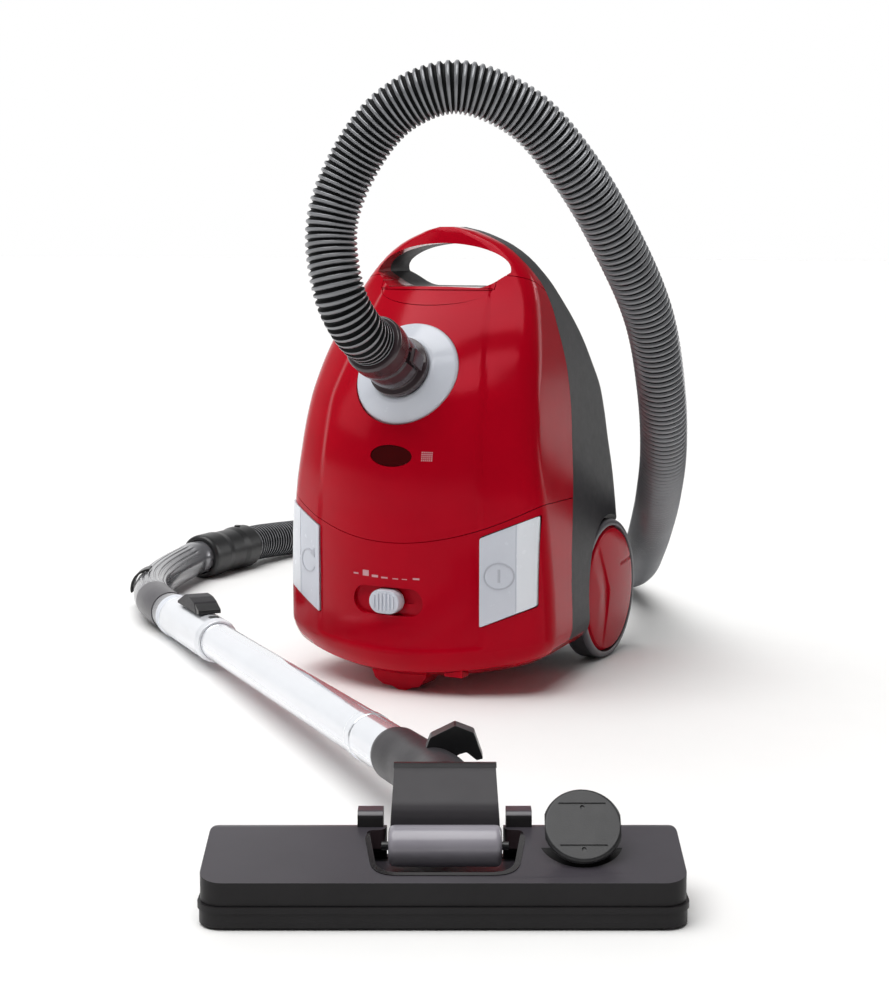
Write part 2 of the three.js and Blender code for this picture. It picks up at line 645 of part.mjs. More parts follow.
function addHose() {
  const route = hoseRoute();
  add(wand, 'hose', swept(route, HOSE_RADIUS, 0, 9, 72), DARK);
}

// ---------------------------------------------------------------- wand

const GRIP_ROUTE = [
  [-251, 470, 22.5], [-260, 425, 21.5], [-265, 380, 21], [-265, 335, 21], [-259, 290, 21],
  [-246, 250, 21],
];

function addWand() {
  const cuff = between(CUFF_START, CUFF_END);
  const socket = [
    [15, 24], [18.4, 24], [18.4, 0], [22.5, 0], [24, 3], [24, 30], [22.5, 40], [22.5, 62],
    [24, 70], [24, cuff.length - 2], [22.5, cuff.length], [15, cuff.length], [15, 24],
  ];
  add(wand, 'cuff', turned(socket, CUFF_START, cuff.way, 22), DARK);
  const pole = between(GRIP_END, ELBOW_MOUTH);
  const back = ahead(GRIP_END, pole.way, -12);
  const inCuff = ahead(CUFF_START, cuff.way, 20);
  const outCuff = ahead(CUFF_START, cuff.way, -14);
  const bent = swept([inCuff, CUFF_START, outCuff, ...GRIP_ROUTE, back, GRIP_END], 17.9, 14.6, 14, 16);
  add(wand, 'grip', bent, DARK);
  const valveAt = [-265.5, 345, 21];
  const angle = (degrees) => THREE.MathUtils.degToRad(degrees);
  const saddle = new THREE.Shape();
  saddle.absarc(0, 0, 21.8, angle(20), angle(125), false);
  saddle.absarc(0, 0, 19.5, angle(125), angle(20), true);
  const valve = new THREE.ExtrudeGeometry(saddle, { depth: 20, bevelEnabled: false, curveSegments: 6 });
  valve.rotateX(Math.PI / 2).translate(...valveAt);
  add(wand, 'air_valve', solid(valve), BLACK);
  const collar = pipe(GRIP_END, pole.way, GAP, 13, 19.8, 14.8, 28);
  add(wand, 'grip_collar', collar, WHITE);
  const tubeEnd = pole.length - 36;
  const outer = [
    [14.8, 13.4], [OUTER_TUBE, 13.4], [OUTER_TUBE, tubeEnd - 14], [OUTER_TUBE + 1.2, tubeEnd - 13],
    [OUTER_TUBE + 1.2, tubeEnd], [14.8, tubeEnd], [14.8, 13.4],
  ];
  add(wand, 'outer_tube', turned(outer, GRIP_END, pole.way, 22), CHROME);
  const sleeveProfile = [
    [16.4, 13.6], [SLEEVE_RADIUS, 13.6], [SLEEVE_RADIUS, 112], [SLEEVE_RADIUS - 1.5, 118],
    [16.4, 118], [16.4, 13.6],
  ];
  add(wand, 'tube_sleeve', turned(sleeveProfile, GRIP_END, pole.way, 22), SILVER);
  addRelease(pole);
  const inner = pipe(GRIP_END, pole.way, 130, pole.length + 30, INNER_TUBE, INNER_TUBE - 1.4, 28);
  add(wand, 'inner_tube', inner, CHROME);
}

// Thumb slide on top of the sleeve.
function addRelease(pole) {
  const along = new THREE.Vector3(...pole.way);
  const side = new THREE.Vector3().crossVectors(along, new THREE.Vector3(0, 0, 1)).normalize();
  const up = new THREE.Vector3().crossVectors(side, along);
  const frame = new THREE.Matrix4().makeBasis(along, side, up);
  frame.setPosition(...GRIP_END);
  const outline = [
    [40, SLEEVE_RADIUS + 0.4], [84, SLEEVE_RADIUS + 0.4], [84, 21.5], [72, 23], [66, 30],
    [60, 30.5], [54, 24.5], [42, 22.5],
  ];
  const shape = new THREE.Shape(outline.map(([a, b]) => new THREE.Vector2(a, b)));
  const thumb = new THREE.ExtrudeGeometry(shape, { depth: 15, bevelEnabled: false });
  thumb.rotateX(Math.PI / 2).translate(0, 7.5, 0).applyMatrix4(frame);
  add(wand, 'release_slider', solid(thumb), BLACK);
}

// ---------------------------------------------------------------- elbow, neck and nozzle

function addElbow() {
  const pole = between(GRIP_END, ELBOW_MOUTH);
  const throat = ahead(ELBOW_MOUTH, pole.way, 42);
  const route = [
    ELBOW_MOUTH, ahead(ELBOW_MOUTH, pole.way, 20), throat,
    [17, -412, 45.5], [24, -432, 47.5], [28, -452, 50], [NECK_U, -468, ELBOW_END_Z],
  ];
  add(wand, 'elbow', swept(route, 17, 14.5, 16, 10), DARK);
  const hook = [
    [8, 65], [22, 65], [27, 67], [36, 68.5], [42, 61], [48, 56.5], [52, 58], [46, 74], [35, 78], [20, 70.5],
  ];
  add(wand, 'parking_hook', prism('y', hook, -424, -411), BLACK);
}

function addNeck() {
  const side = [
    [-504, 38], [-500, 45], [-480, 67], [-475, 70], [-471, 68], [-474, 58], [-488, 38],
  ];
  const plate = prism('x', side, NECK_U - 29, NECK_U + 29);
  const barrel = rod([0, BARREL_V, BARREL_Z], [1, 0, 0], NECK_U - 34, NECK_U + 34, BARREL_RADIUS, 24);
  const web = block(NECK_U - 29, NECK_U + 29, BARREL_V, -490, BARREL_Z - 2, 41);
  const axis = [NECK_U, 0, ELBOW_END_Z];
  const socket = rod(axis, [0, 1, 0], -488, -470.4, 21, 20);
  const bore = rod(axis, [0, 1, 0], -484, -460, 14.5, 20);
  const shaft = rod([0, BARREL_V, BARREL_Z], [1, 0, 0], -30, 90, 3, 16);
  add(wand, 'neck', cut(union(plate, barrel, web, socket), bore, shaft), DARK);
}

const NOZZLE_BACK = NOZZLE_FRONT + NOZZLE_DEPTH;
const PEDAL_CENTRE = [104.5, -525, 48];
const PEDAL_NORMAL = [0, -0.73, 0.68];
const STRIPS = { front: -541.5, frontHalf: 115.5, rear: -496, rearHalf: 91.5, link: 86 };
const STRIP_TRAVEL = 3;

// The nozzle's plan, a box with round corners, drawn in by inset.
function nozzlePlan(inset, radius) {
  const half = NOZZLE_WIDTH / 2 - inset;
  const [x0, x1] = [NOZZLE_U - half, NOZZLE_U + half];
  const [y0, y1] = [NOZZLE_FRONT + inset, NOZZLE_BACK - inset];
  const shape = new THREE.Shape();
  shape.absarc(x1 - radius, y0 + radius, radius, -Math.PI / 2, 0, false);
  shape.absarc(x1 - radius, y1 - radius, radius, 0, Math.PI / 2, false);
  shape.absarc(x0 + radius, y1 - radius, radius, Math.PI / 2, Math.PI, false);
  shape.absarc(x0 + radius, y0 + radius, radius, Math.PI, 1.5 * Math.PI, false);
  return shape;
}

// The cover's side view, lowered by drop.
function coverSide(drop) {
  const [low, front, back] = [SOLE_TOP + GAP - drop, NOZZLE_FRONT, NOZZLE_BACK];
  const line = [
    [front - 5, low], [back + 5, low], [back + 5, 37 - drop], [back - 12, 40.5 - drop],
    [front + 4, 30 - drop], [front - 5, 27 - drop],
  ];
  return prism('x', line, NOZZLE_U - NOZZLE_WIDTH, NOZZLE_U + NOZZLE_WIDTH);
}

// Room for the two brush strips, and for the links that join them above the sole.
function stripRoom(spare, linked) {
  const { front, frontHalf, rear, rearHalf, link } = STRIPS;
  const top = SOLE_TOP + 4 + STRIP_TRAVEL + spare;
  const across = (half, v) => block(
    NOZZLE_U - half - spare, NOZZLE_U + half + spare, v - 3 - spare, v + 3 + spare, 0, top,
  );
  const links = [-link, link].map((u) => block(
    NOZZLE_U + u - 2 - spare, NOZZLE_U + u + 2 + spare, front, rear, 0, top,
  ));
  const strips = union(across(frontHalf, front), across(rearHalf, rear));
  return linked ? union(strips, ...links) : strips;
}

function addCover() {
  const outer = prism('z', nozzlePlan(1.5, 12), 0, 60, 4).intersect(coverSide(0));
  const hollow = prism('z', nozzlePlan(4.5, 9), 0, 60, 4).intersect(coverSide(3));
  const floor = SOLE_TOP + GAP;
  const wellWalls = block(NECK_U - 46, NECK_U + 46, -551, NOZZLE_BACK - 2, floor, 40).intersect(outer);
  const well = block(NECK_U - 40, NECK_U + 40, -547, NOZZLE_BACK + 10, 19.5, 60);
  const pedalBlock = block(78, 131, -545, NOZZLE_BACK - 2, floor, 40).intersect(outer);
  const pedalWell = rod(PEDAL_CENTRE, PEDAL_NORMAL, -15, 60, 24, 24);
  const ears = [-50, 36].map((u) => block(NECK_U + u, NECK_U + u + 14, -523, -481, 19, 46));
  const pinHole = rod([0, BARREL_V, BARREL_Z], [1, 0, 0], -25, 85, 3, 16);
  const raw = union(cut(outer, hollow), wellWalls, pedalBlock);
  const carved = cut(raw, well, pedalWell, stripRoom(0.8, true));
  add(wand, 'nozzle_cover', cut(union(carved, ...ears), pinHole, stripRoom(0.8, true)), DARK);
}

function addSole() {
  const plate = prism('z', nozzlePlan(0, 13), 1.5, SOLE_TOP, 4);
  const runner = block(NOZZLE_U - 118, NOZZLE_U + 118, NOZZLE_FRONT + 4, NOZZLE_FRONT + 8, 0, 4);
  const mouth = block(NOZZLE_U - 78, NOZZLE_U + 112, -532, -520, 0, 20);
  const throat = block(NECK_U - 20, NECK_U + 20, -522, -504, 0, 20);
  const axleV = NOZZLE_BACK - 10;
  const pits = [-106, 106].map((u) => block(
    NOZZLE_U + u - 7.5, NOZZLE_U + u + 7.5, axleV - 8, axleV + 8, 0, 14,
  ));
  const holes = [-106, 106].map((u) => rod([NOZZLE_U + u, axleV, 6.5], [1, 0, 0], -10, 10, 2.1, 12));
  const whole = cut(union(plate, runner), mouth, throat, stripRoom(0.6, false), ...pits, ...holes);
  add(wand, 'nozzle_sole', whole, BLACK);
  for (const [name, u] of [['left', -106], ['right', 106]]) {
    const profile = [
      [0, -9], [1.6, -9], [1.6, -6.5], [6.5, -6.5], [6.5, 6.5], [1.6, 6.5], [1.6, 9], [0, 9],
    ];
    add(wand, `roller_${name}`, turned(profile, [NOZZLE_U + u, axleV, 6.5], [1, 0, 0], 16), RUBBER);
  }
}

function addBrushes() {
  const { front, frontHalf, rear, rearHalf, link } = STRIPS;
  const top = SOLE_TOP + 4;
  const strip = (half, v) => block(NOZZLE_U - half, NOZZLE_U + half, v - 2.6, v + 2.6, 0.8, top);
  const links = [-link, link].map((u) => block(
    NOZZLE_U + u - 2, NOZZLE_U + u + 2, front, rear, SOLE_TOP + 0.6, top,
  ));
  add(wand, 'brush_carrier', union(strip(frontHalf, front), strip(rearHalf, rear), ...links), BLACK);
  const disc = [
    [0, -12], [12, -12], [12, -4], [19, -4], [22, -1], [22, 1], [20.5, 2.5], [0, 2.5],
  ];
  add(wand, 'brush_pedal', turned(disc, PEDAL_CENTRE, PEDAL_NORMAL, 24), DARK);
}

function addNozzle() {
  addCover();
  addSole();
  addBrushes();
  const pin = rod([0, BARREL_V, BARREL_Z], [1, 0, 0], NECK_U - 46, NECK_U + 46, 2.6, 12);
  add(wand, 'neck_pin', pin, STEEL);
}

addLid();
addInlet();
addLowerHousing();
addChassis();
addWheels();
addInside();
addHose();
addWand();
addElbow();
addNeck();
addNozzle();

// The origin is on the floor, in the middle of everything but the hose.
group.updateMatrixWorld(true);
const extent = new THREE.Box3();
group.traverse((piece) => {
  if (piece.isMesh && piece.name !== 'hose') extent.expandByObject(piece, true);
});
const middle = extent.getCenter(new THREE.Vector3());
group.position.set(-middle.x, -middle.y, 0);

export default group;
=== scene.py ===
"""Canister vacuum cleaner, parked upright, with its hose, wand and floor nozzle.

Lengths in the modelling calls are millimetres. The canister is built in its own frame, X to the right,
Y to the back, Z up. The wand and nozzle are built in a frame turned by WAND_HEADING about Z: u, v, z.
"""
import math

import bpy
import numpy as np
from mathutils import Matrix, Vector


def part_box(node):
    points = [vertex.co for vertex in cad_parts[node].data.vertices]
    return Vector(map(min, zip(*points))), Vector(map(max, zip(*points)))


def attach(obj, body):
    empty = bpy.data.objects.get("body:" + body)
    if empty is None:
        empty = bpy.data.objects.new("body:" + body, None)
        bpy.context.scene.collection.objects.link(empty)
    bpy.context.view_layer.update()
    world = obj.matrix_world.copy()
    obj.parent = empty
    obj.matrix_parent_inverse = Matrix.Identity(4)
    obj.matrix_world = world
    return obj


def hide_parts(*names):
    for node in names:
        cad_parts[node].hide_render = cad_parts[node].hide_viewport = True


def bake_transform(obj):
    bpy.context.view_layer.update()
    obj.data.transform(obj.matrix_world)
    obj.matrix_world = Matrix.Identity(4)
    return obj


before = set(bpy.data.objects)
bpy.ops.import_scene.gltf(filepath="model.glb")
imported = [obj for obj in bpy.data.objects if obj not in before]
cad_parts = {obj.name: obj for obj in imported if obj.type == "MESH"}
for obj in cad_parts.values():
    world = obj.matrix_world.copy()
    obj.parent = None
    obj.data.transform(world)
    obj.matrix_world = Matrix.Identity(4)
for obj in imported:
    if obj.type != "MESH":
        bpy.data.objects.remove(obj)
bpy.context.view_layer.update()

# ---- frames

WAND_HEADING = math.radians(26.75)
WHEEL_Y, WHEEL_Z = 179, 61.8
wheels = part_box("wheel_left")[0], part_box("wheel_right")[1]
ORIGIN = Vector(((wheels[0].x + wheels[1].x) / 2, (wheels[0].y + wheels[1].y) / 2 - WHEEL_Y / 1000, 0))
MM = Matrix.Scale(0.001, 4)
CANISTER = Matrix.Translation(ORIGIN) @ MM
WAND = Matrix.Translation(ORIGIN) @ Matrix.Rotation(WAND_HEADING, 4, "Z") @ MM


# ---- camera

def linked(name, data):
    """A new object, placed in the scene."""
    made = bpy.data.objects.new(name, data)
    bpy.context.collection.objects.link(made)
    return made


def add_camera():
    camera = linked("camera", bpy.data.cameras.new("camera"))
    camera.data.lens = 66.93
    camera.data.sensor_width = 36
    camera.data.clip_end = 50
    camera.location = CANISTER @ Vector((705.4, -1335.8, 364.5))
    camera.rotation_euler = (math.radians(90 - 7.85), 0, WAND_HEADING)
    bpy.context.scene.camera = camera


add_camera()


# ---- materials

def set_inputs(node, values):
    for name, value in values.items():
        node.inputs[name].default_value = value


def plastic(name, colour, rough, grain=900, bump=0.05, coat=0.0, metallic=0.0, vary=0.08, coarse=25,
            specular=0.5, tint=(1, 1, 1)):
    """Moulded plastic or metal: a slow drift of shade, uneven gloss and a fine surface grain."""
    made = bpy.data.materials.new(name)
    made.use_nodes = True
    nodes, links = made.node_tree.nodes, made.node_tree.links
    shader = nodes["Principled BSDF"]
    set_inputs(shader, {"Metallic": metallic, "Coat Weight": coat, "Coat Roughness": 0.04,
                        "Specular IOR Level": specular, "Specular Tint": (*tint, 1)})
    where = nodes.new("ShaderNodeTexCoord")

    def noise(scale, detail):
        node = nodes.new("ShaderNodeTexNoise")
        set_inputs(node, {"Scale": scale, "Detail": detail})
        links.new(where.outputs["Object"], node.inputs["Vector"])
        return node.outputs["Fac"]

    slow = noise(coarse, 3)
    ramp = nodes.new("ShaderNodeValToRGB")
    for stop, at, shift in zip(ramp.color_ramp.elements, (0.3, 0.7), (-vary, vary)):
        stop.position = at
        stop.color = (*[min(1, c * (1 + shift)) for c in colour], 1)
    links.new(slow, ramp.inputs["Fac"])
    links.new(ramp.outputs["Color"], shader.inputs["Base Color"])
    gloss = nodes.new("ShaderNodeMapRange")
    set_inputs(gloss, {"To Min": rough * 0.85, "To Max": min(1, rough * 1.15)})
    links.new(noise(coarse * 6, 4), gloss.inputs["Value"])
    links.new(gloss.outputs["Result"], shader.inputs["Roughness"])
    relief = nodes.new("ShaderNodeBump")
    set_inputs(relief, {"Strength": bump, "Distance": 0.0004})
    links.new(noise(grain, 5), relief.inputs["Height"])
    links.new(relief.outputs["Normal"], shader.inputs["Normal"])
    return made


RED = plastic("gloss_red", (0.43, 0.001, 0.011), 0.15, grain=40, bump=0.01, vary=0.05, specular=0.34,
              tint=(1, 0.16, 0.22))
RED_SIDE = plastic("gloss_red_side", (0.42, 0.001, 0.011), 0.2, grain=40, bump=0.01, vary=0.05, specular=0.08,
                   tint=(1, 0.16, 0.22))
GREY = plastic("textured_grey", (0.026, 0.025, 0.028), 0.45, grain=1500, bump=0.3, specular=0.14)
RIM = plastic("rim_grey", (0.1, 0.094, 0.104), 0.36, grain=900, bump=0.1)
TYRE = plastic("tyre_grey", (0.045, 0.044, 0.048), 0.6, grain=1200, bump=0.3)
CHARCOAL = plastic("satin_charcoal", (0.046, 0.041, 0.05), 0.32, grain=1400, bump=0.06, specular=0.7)
# A darker, matt charcoal: on the nozzle cover's upright faces and pedal well it is painted shade; on the sole
# it is partly the sole's own finish and partly painted shade.
SHADED = plastic("matt_charcoal_painted_shade", (0.017, 0.016, 0.017), 0.45, grain=1200, bump=0.1, specular=0.18)
NECK = plastic("neck_charcoal", (0.04, 0.037, 0.041), 0.4, grain=1400, bump=0.06, specular=0.22)
TONGUE = plastic("tongue_grey", (0.28, 0.265, 0.3), 0.3, grain=80, bump=0.02, coat=0.3)
TRIM = plastic("gloss_black", (0.01, 0.008, 0.009), 0.12, grain=80, bump=0.02, coat=0.4)
BLACK = plastic("satin_black", (0.011, 0.011, 0.012), 0.33, grain=1200, bump=0.12)
GRIP = plastic("grip_grey", (0.2, 0.2, 0.215), 0.2, grain=1400, bump=0.04, metallic=0.4, coat=0.4)
CUFF = plastic("cuff_grey", (0.02, 0.02, 0.021), 0.36, grain=1400, bump=0.12, specular=0.4)
WHITE = plastic("gloss_white", (0.66, 0.69, 0.76), 0.26, grain=30, bump=0.01, coat=0.2, vary=0.015)
# A lighter copy of the white for the pedal strip that turns away beyond the crease: a painted highlight.
WHITE_PAINTED_HIGHLIGHT = plastic("gloss_white_painted_highlight", (0.82, 0.85, 0.9), 0.26, grain=30, bump=0.01, coat=0.2,
                       vary=0.015)
EMBOSS = plastic("embossed_white", (0.5, 0.52, 0.58), 0.3, grain=30, bump=0.01, vary=0.015)
PRINT = plastic("pale_print", (0.6, 0.33, 0.36), 0.4, grain=600, bump=0.05)
SMOKE = plastic("smoked_brown", (0.045, 0.03, 0.034), 0.22, grain=60, bump=0.02, coat=0.15)
LENS = plastic("dark_red_window", (0.05, 0.0004, 0.001), 0.06, grain=40, bump=0.01, coat=0.2, specular=0.4,
               tint=(1, 0.4, 0.4))
CHROME = plastic("polished_chrome", (0.82, 0.84, 0.88), 0.14, grain=500, bump=0.01, metallic=0.6, vary=0.02,
                 coat=0.3)
STEEL = plastic("plain_steel", (0.5, 0.5, 0.51), 0.32, grain=1600, bump=0.15, metallic=1)
SILVER = plastic("silver_paint", (0.78, 0.8, 0.84), 0.22, grain=900, bump=0.02, metallic=0.3, vary=0.02,
                 coat=0.3)
RUBBER = plastic("matt_rubber", (0.03, 0.03, 0.032), 0.75, grain=1400, bump=0.3)
# The hose is one dark ribbed plastic: the lighter crest colour is partly a painted highlight, and the
# near-black groove colour is painted shade.
CREST_PAINTED_HIGHLIGHT = plastic("hose_crest_painted_highlight", (0.21, 0.215, 0.228), 0.24, grain=900, bump=0.03, metallic=0.2, specular=0.8)
GROOVE_PAINTED_SHADE = plastic("hose_groove_painted_shade", (0.004, 0.0045, 0.005), 0.6, grain=1200, bump=0.15, specular=0.12)
FLEECE = plastic("bag_fleece", (0.6, 0.55, 0.42), 0.95, grain=2200, bump=0.7, vary=0.12, coarse=80)
FOAM = plastic("filter_fleece", (0.09, 0.095, 0.1), 0.95, grain=1800, bump=0.8, vary=0.2, coarse=150)
BOARD = plastic("board_green", (0.01, 0.08, 0.03), 0.4, grain=900, bump=0.2)

CAD_LOOKS = {
    "bulkhead": BLACK, "motor": STEEL, "motor_filter": FOAM, "fan_housing": BLACK, "impeller": SILVER,
    "exhaust_filter": FOAM, "exhaust_grille": BLACK, "cord_outlet": BLACK, "cord_reel": BLACK,
    "brake_lever": BLACK, "power_switch": BLACK, "control_board": BOARD, "dust_bag": FLEECE,
    "bag_holder": BLACK, "bag_collar": FLEECE, "lid_hinge_pin": STEEL, "inlet_seal": RUBBER,
    "indicator_flag": WHITE, "axle_right": STEEL, "axle_left": STEEL, "caster_axle": STEEL,
    "brush_carrier": BLACK, "roller_left": RUBBER, "roller_right": RUBBER,
    "caster_fork": GREY,
}
for node, look in CAD_LOOKS.items():
    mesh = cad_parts[node].data
    mesh.materials.clear()
    mesh.materials.append(look)


# ---- solids

def raw(vertices, faces):
    """A bare mesh object for cutting, not yet a piece."""
    mesh = bpy.data.meshes.new("raw")
    mesh.from_pydata([tuple(map(float, v)) for v in vertices], [], [tuple(map(int, f)) for f in faces])
    mesh.update()
    made = linked("raw", mesh)
    volume = sum(
        Vector(mesh.vertices[t.vertices[0]].co).dot(
            mesh.vertices[t.vertices[1]].co.cross(mesh.vertices[t.vertices[2]].co))
        for t in triangles(mesh))
    if volume < 0:
        mesh.flip_normals()
    return made


def triangles(mesh):
    mesh.calc_loop_triangles()
    return mesh.loop_triangles


def combine(whole, operation, tools):
    """Applies each tool to the whole in turn, and uses the tools up."""
    for tool in tools:
        step = whole.modifiers.new("cut", "BOOLEAN")
        step.operation = operation
        step.solver = "MANIFOLD"
        step.object = tool
        evaluated(whole)
        bpy.data.objects.remove(tool)
    return whole


def cut(whole, *tools):
    return combine(whole, "DIFFERENCE", tools)


def union(whole, *tools):
    return combine(whole, "UNION", tools)


def within(whole, *tools):
    return combine(whole, "INTERSECT", tools)


def copy(solid):
    return linked("raw", solid.data.copy())


def grid(rings):
    """Faces over a stack of equal rings, with both ends capped."""
    count = len(rings[0])
    vertices = [p for ring in rings for p in ring]
    faces = []
    for k in range(len(rings) - 1):
        low, high = k * count, (k + 1) * count
        for i in range(count):
            j = (i + 1) % count
            faces.append((low + i, low + j, high + j, high + i))
    for ring, is_top in ((0, False), (len(rings) - 1, True)):
        centre = len(vertices)
        vertices.append(tuple(np.mean(rings[ring], axis=0)))
        for i in range(count):
            a, b = ring * count + i, ring * count + (i + 1) % count
            faces.append((a, b, centre) if is_top else (b, a, centre))
    return raw(vertices, faces)


def basis(direction):
    way = Vector(direction).normalized()
    return Vector((0, 0, 1)).rotation_difference(way)


def turned(profile, start, direction, segments=72):
    """Turns a closed profile of (radius, distance) about the line from start along direction."""
    turn = basis(direction)
    start = Vector(start)
    on_axis = [i for i, (r, _) in enumerate(profile) if r < 1e-6]
    vertices, faces, index = [], [], {}
    for i, (r, h) in enumerate(profile):
        for k in range(1 if i in on_axis else segments):
            angle = 2 * math.pi * k / segments
            index[i, k] = len(vertices)
            vertices.append(start + turn @ Vector((r * math.cos(angle), r * math.sin(angle), h)))
    for i in range(len(profile)):
        j = (i + 1) % len(profile)
        if i in on_axis and j in on_axis:
            continue
        for k in range(segments):
            n = (k + 1) % segments
            if i in on_axis:
                faces.append((index[i, 0], index[j, n], index[j, k]))
            elif j in on_axis:
                faces.append((index[i, k], index[i, n], index[j, 0]))
            else:
                faces.append((index[i, k], index[i, n], index[j, n], index[j, k]))
    return raw(vertices, faces)


def rod(start, direction, low, high, radius, segments=72):
    return turned([(0, low), (radius, low), (radius, high), (0, high)], start, direction, segments)


def pipe(start, direction, low, high, outer, inner, segments=72):
    return turned([(inner, low), (outer, low), (outer, high), (inner, high)], start, direction, segments)


def prism(axis, outline, low, high):
    """Extrudes a closed outline of (a, b) points along the third axis."""
    place = {"x": lambda a, b, c: (c, a, b), "y": lambda a, b, c: (a, c, b),
             "z": lambda a, b, c: (a, b, c)}[axis]
    count = len(outline)
    vertices = [place(a, b, low) for a, b in outline] + [place(a, b, high) for a, b in outline]
    sides = [(i, (i + 1) % count, count + (i + 1) % count, count + i) for i in range(count)]
    return raw(vertices, [tuple(range(count))[::-1], tuple(range(count, 2 * count))] + sides)


def block(x0, x1, y0, y1, z0, z1):
    return prism("z", [(x0, y0), (x1, y0), (x1, y1), (x0, y1)], z0, z1)


def arc(centre, radius, start, end, count=10, squeeze=1.0):
    """Points on an arc in degrees; squeeze flattens it vertically."""
    angles = np.radians(np.linspace(start, end, count + 1))
    return [(centre[0] + radius * math.cos(t), centre[1] + radius * squeeze * math.sin(t)) for t in angles]


def rounded_corner(outline, i, radius, count):
    """One corner of an outline, as points on a curve that takes at most 0.45 of each side."""
    before, here, after = (Vector(outline[k % len(outline)]) for k in (i - 1, i, i + 1))
    reach = min(radius, (before - here).length * 0.45, (after - here).length * 0.45)
    a = here + (before - here).normalized() * reach
    b = here + (after - here).normalized() * reach
    return [tuple((1 - t) ** 2 * a + 2 * t * (1 - t) * here + t * t * b)
            for t in (k / count for k in range(count + 1))]


def rounded(outline, radius, count=4):
    """Rounds every corner of a closed outline."""
    made = []
    for i in range(len(outline)):
        made += rounded_corner(outline, i, radius, count)
    return made


def softened(profile, radius, count=4):
    """Rounds a turned profile's corners, but not where it meets its axis."""
    made = []
    for i, p in enumerate(profile):
        made += [p] if p[0] < 1e-6 else rounded_corner(profile, i, radius, count)
    return made


def evaluated(solid):
    """Replaces a solid's mesh by what its modifiers make of it."""
    mesh = bpy.data.meshes.new_from_object(solid.evaluated_get(bpy.context.evaluated_depsgraph_get()))
    solid.modifiers.clear()
    solid.data = mesh
    return solid


def eased_edges(solid, width, segments, angle):
    """Rounds every edge that is sharper than the angle in degrees."""
    step = solid.modifiers.new("edge", "BEVEL")
    step.width = width
    step.segments = segments
    step.limit_method = "ANGLE"
    step.angle_limit = math.radians(angle)
    return evaluated(solid)


def mark_faces(solid, look, chosen):
    """Gives the chosen faces another of the piece's looks."""
    while len(solid.data.materials) <= look:
        solid.data.materials.append(None)
    for face in solid.data.polygons:
        if chosen(face):
            face.material_index = look


def on_side(face):
    return abs(face.normal.x) > 0.87


def piece(solid, name, body, look, place=CANISTER, stands_for=(), edge=0.0, sharp=32, looks=()):
    """Turns a solid into a finished piece of the object, in the row frame."""
    solid.name = name
    mesh = solid.data
    mesh.name = name
    mesh.transform(place)
    chosen = [face.material_index for face in mesh.polygons] if looks else []
    mesh.materials.clear()
    for material in (look, *looks):
        mesh.materials.append(material)
    for face, index in zip(mesh.polygons, chosen):
        face.material_index = index
    if edge:
        mesh = eased_edges(solid, edge / 1000, 2, 45).data
        mesh.name = name
    mesh.shade_smooth()
    mesh.set_sharp_from_angle(angle=math.radians(sharp))
    weighted = solid.modifiers.new("normals", "WEIGHTED_NORMAL")
    weighted.keep_sharp = True
    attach(solid, body)
    if stands_for:
        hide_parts(*stands_for)
    return solid


# ---- hose

HOSE_ROUTE = [
    (-51, -88, 326), (-57, -85, 377), (-42, -85, 421), (-9, -92, 463), (36, -98, 480),
    (87, -93, 462), (128, -79, 419), (163, -52, 365), (192, -16, 307), (208, 25, 243), (216, 72, 189),
    (219, 130, 143), (221, 200, 104), (223, 270, 73), (224, 335, 47), (221, 395, 30), (212, 450, 21.5),
    (192, 503, 20.6), (158, 560, 20.6), (112, 615, 20.6), (56, 658, 20.6), (-4, 686, 20.6),
    (-62, 697, 20.6), (-112, 687, 20.6), (-150, 660, 20.8),
]
CUFF_END = Vector((-198.2, 582.5, 24))
CUFF_START = Vector((-240, 500.5, 24))
CUFF_WAY = (CUFF_END - CUFF_START).normalized()
TILT = math.radians(26)
INLET = Vector((0, -2, 258.7))
INLET_WAY = Vector((0, -math.cos(TILT), math.sin(TILT)))
CONNECTOR_LENGTH = 66


def to_wand(point):
    return Matrix.Rotation(-WAND_HEADING, 3, "Z") @ Vector(point)


def smooth_curve(points, per_span):
    """A centripetal Catmull-Rom curve through the points."""
    points = [Vector(p) for p in points]
    q = [2 * points[0] - points[1], *points, 2 * points[-1] - points[-2]]
    made = []
    for i in range(1, len(q) - 2):
        p0, p1, p2, p3 = q[i - 1:i + 3]
        t1 = (p1 - p0).length ** 0.5
        t2 = t1 + (p2 - p1).length ** 0.5
        t3 = t2 + (p3 - p2).length ** 0.5
        for k in range(per_span):
            t = t1 + (t2 - t1) * k / per_span
            a1 = p0 * ((t1 - t) / t1) + p1 * (t / t1)
            a2 = p1 * ((t2 - t) / (t2 - t1)) + p2 * ((t - t1) / (t2 - t1))
            a3 = p2 * ((t3 - t) / (t3 - t2)) + p3 * ((t - t2) / (t3 - t2))
            b1 = a1 * ((t2 - t) / t2) + a2 * (t / t2)
            b2 = a2 * ((t3 - t) / (t3 - t1)) + a3 * ((t - t1) / (t3 - t1))
            made.append(b1 * ((t2 - t) / (t2 - t1)) + b2 * ((t - t1) / (t2 - t1)))
    return made + [points[-1]]


def even(points, spacing):
    """Points the same distance apart along a line of points."""
    array = np.array(points)
    gone = np.concatenate([[0], np.cumsum(np.linalg.norm(np.diff(array, axis=0), axis=1))])
    count = max(2, int(round(gone[-1] / spacing)) + 1)
    at = np.linspace(0, gone[-1], count)
    return np.stack([np.interp(at, gone, array[:, k]) for k in range(3)], 1), gone[-1]


def carried(line):
    """Two directions square to the line at each point, carried along without twisting."""
    tangents = np.gradient(line, axis=0)
    tangents /= np.linalg.norm(tangents, axis=1)[:, None]
    side = np.cross(tangents[0], (0, 0, 1.0))
    side /= np.linalg.norm(side)
    sides = []
    for t in tangents:
        side = side - t * side.dot(t)
        side = side / np.linalg.norm(side)
        sides.append(side)
    sides = np.array(sides)
    return sides, np.cross(sides, tangents)


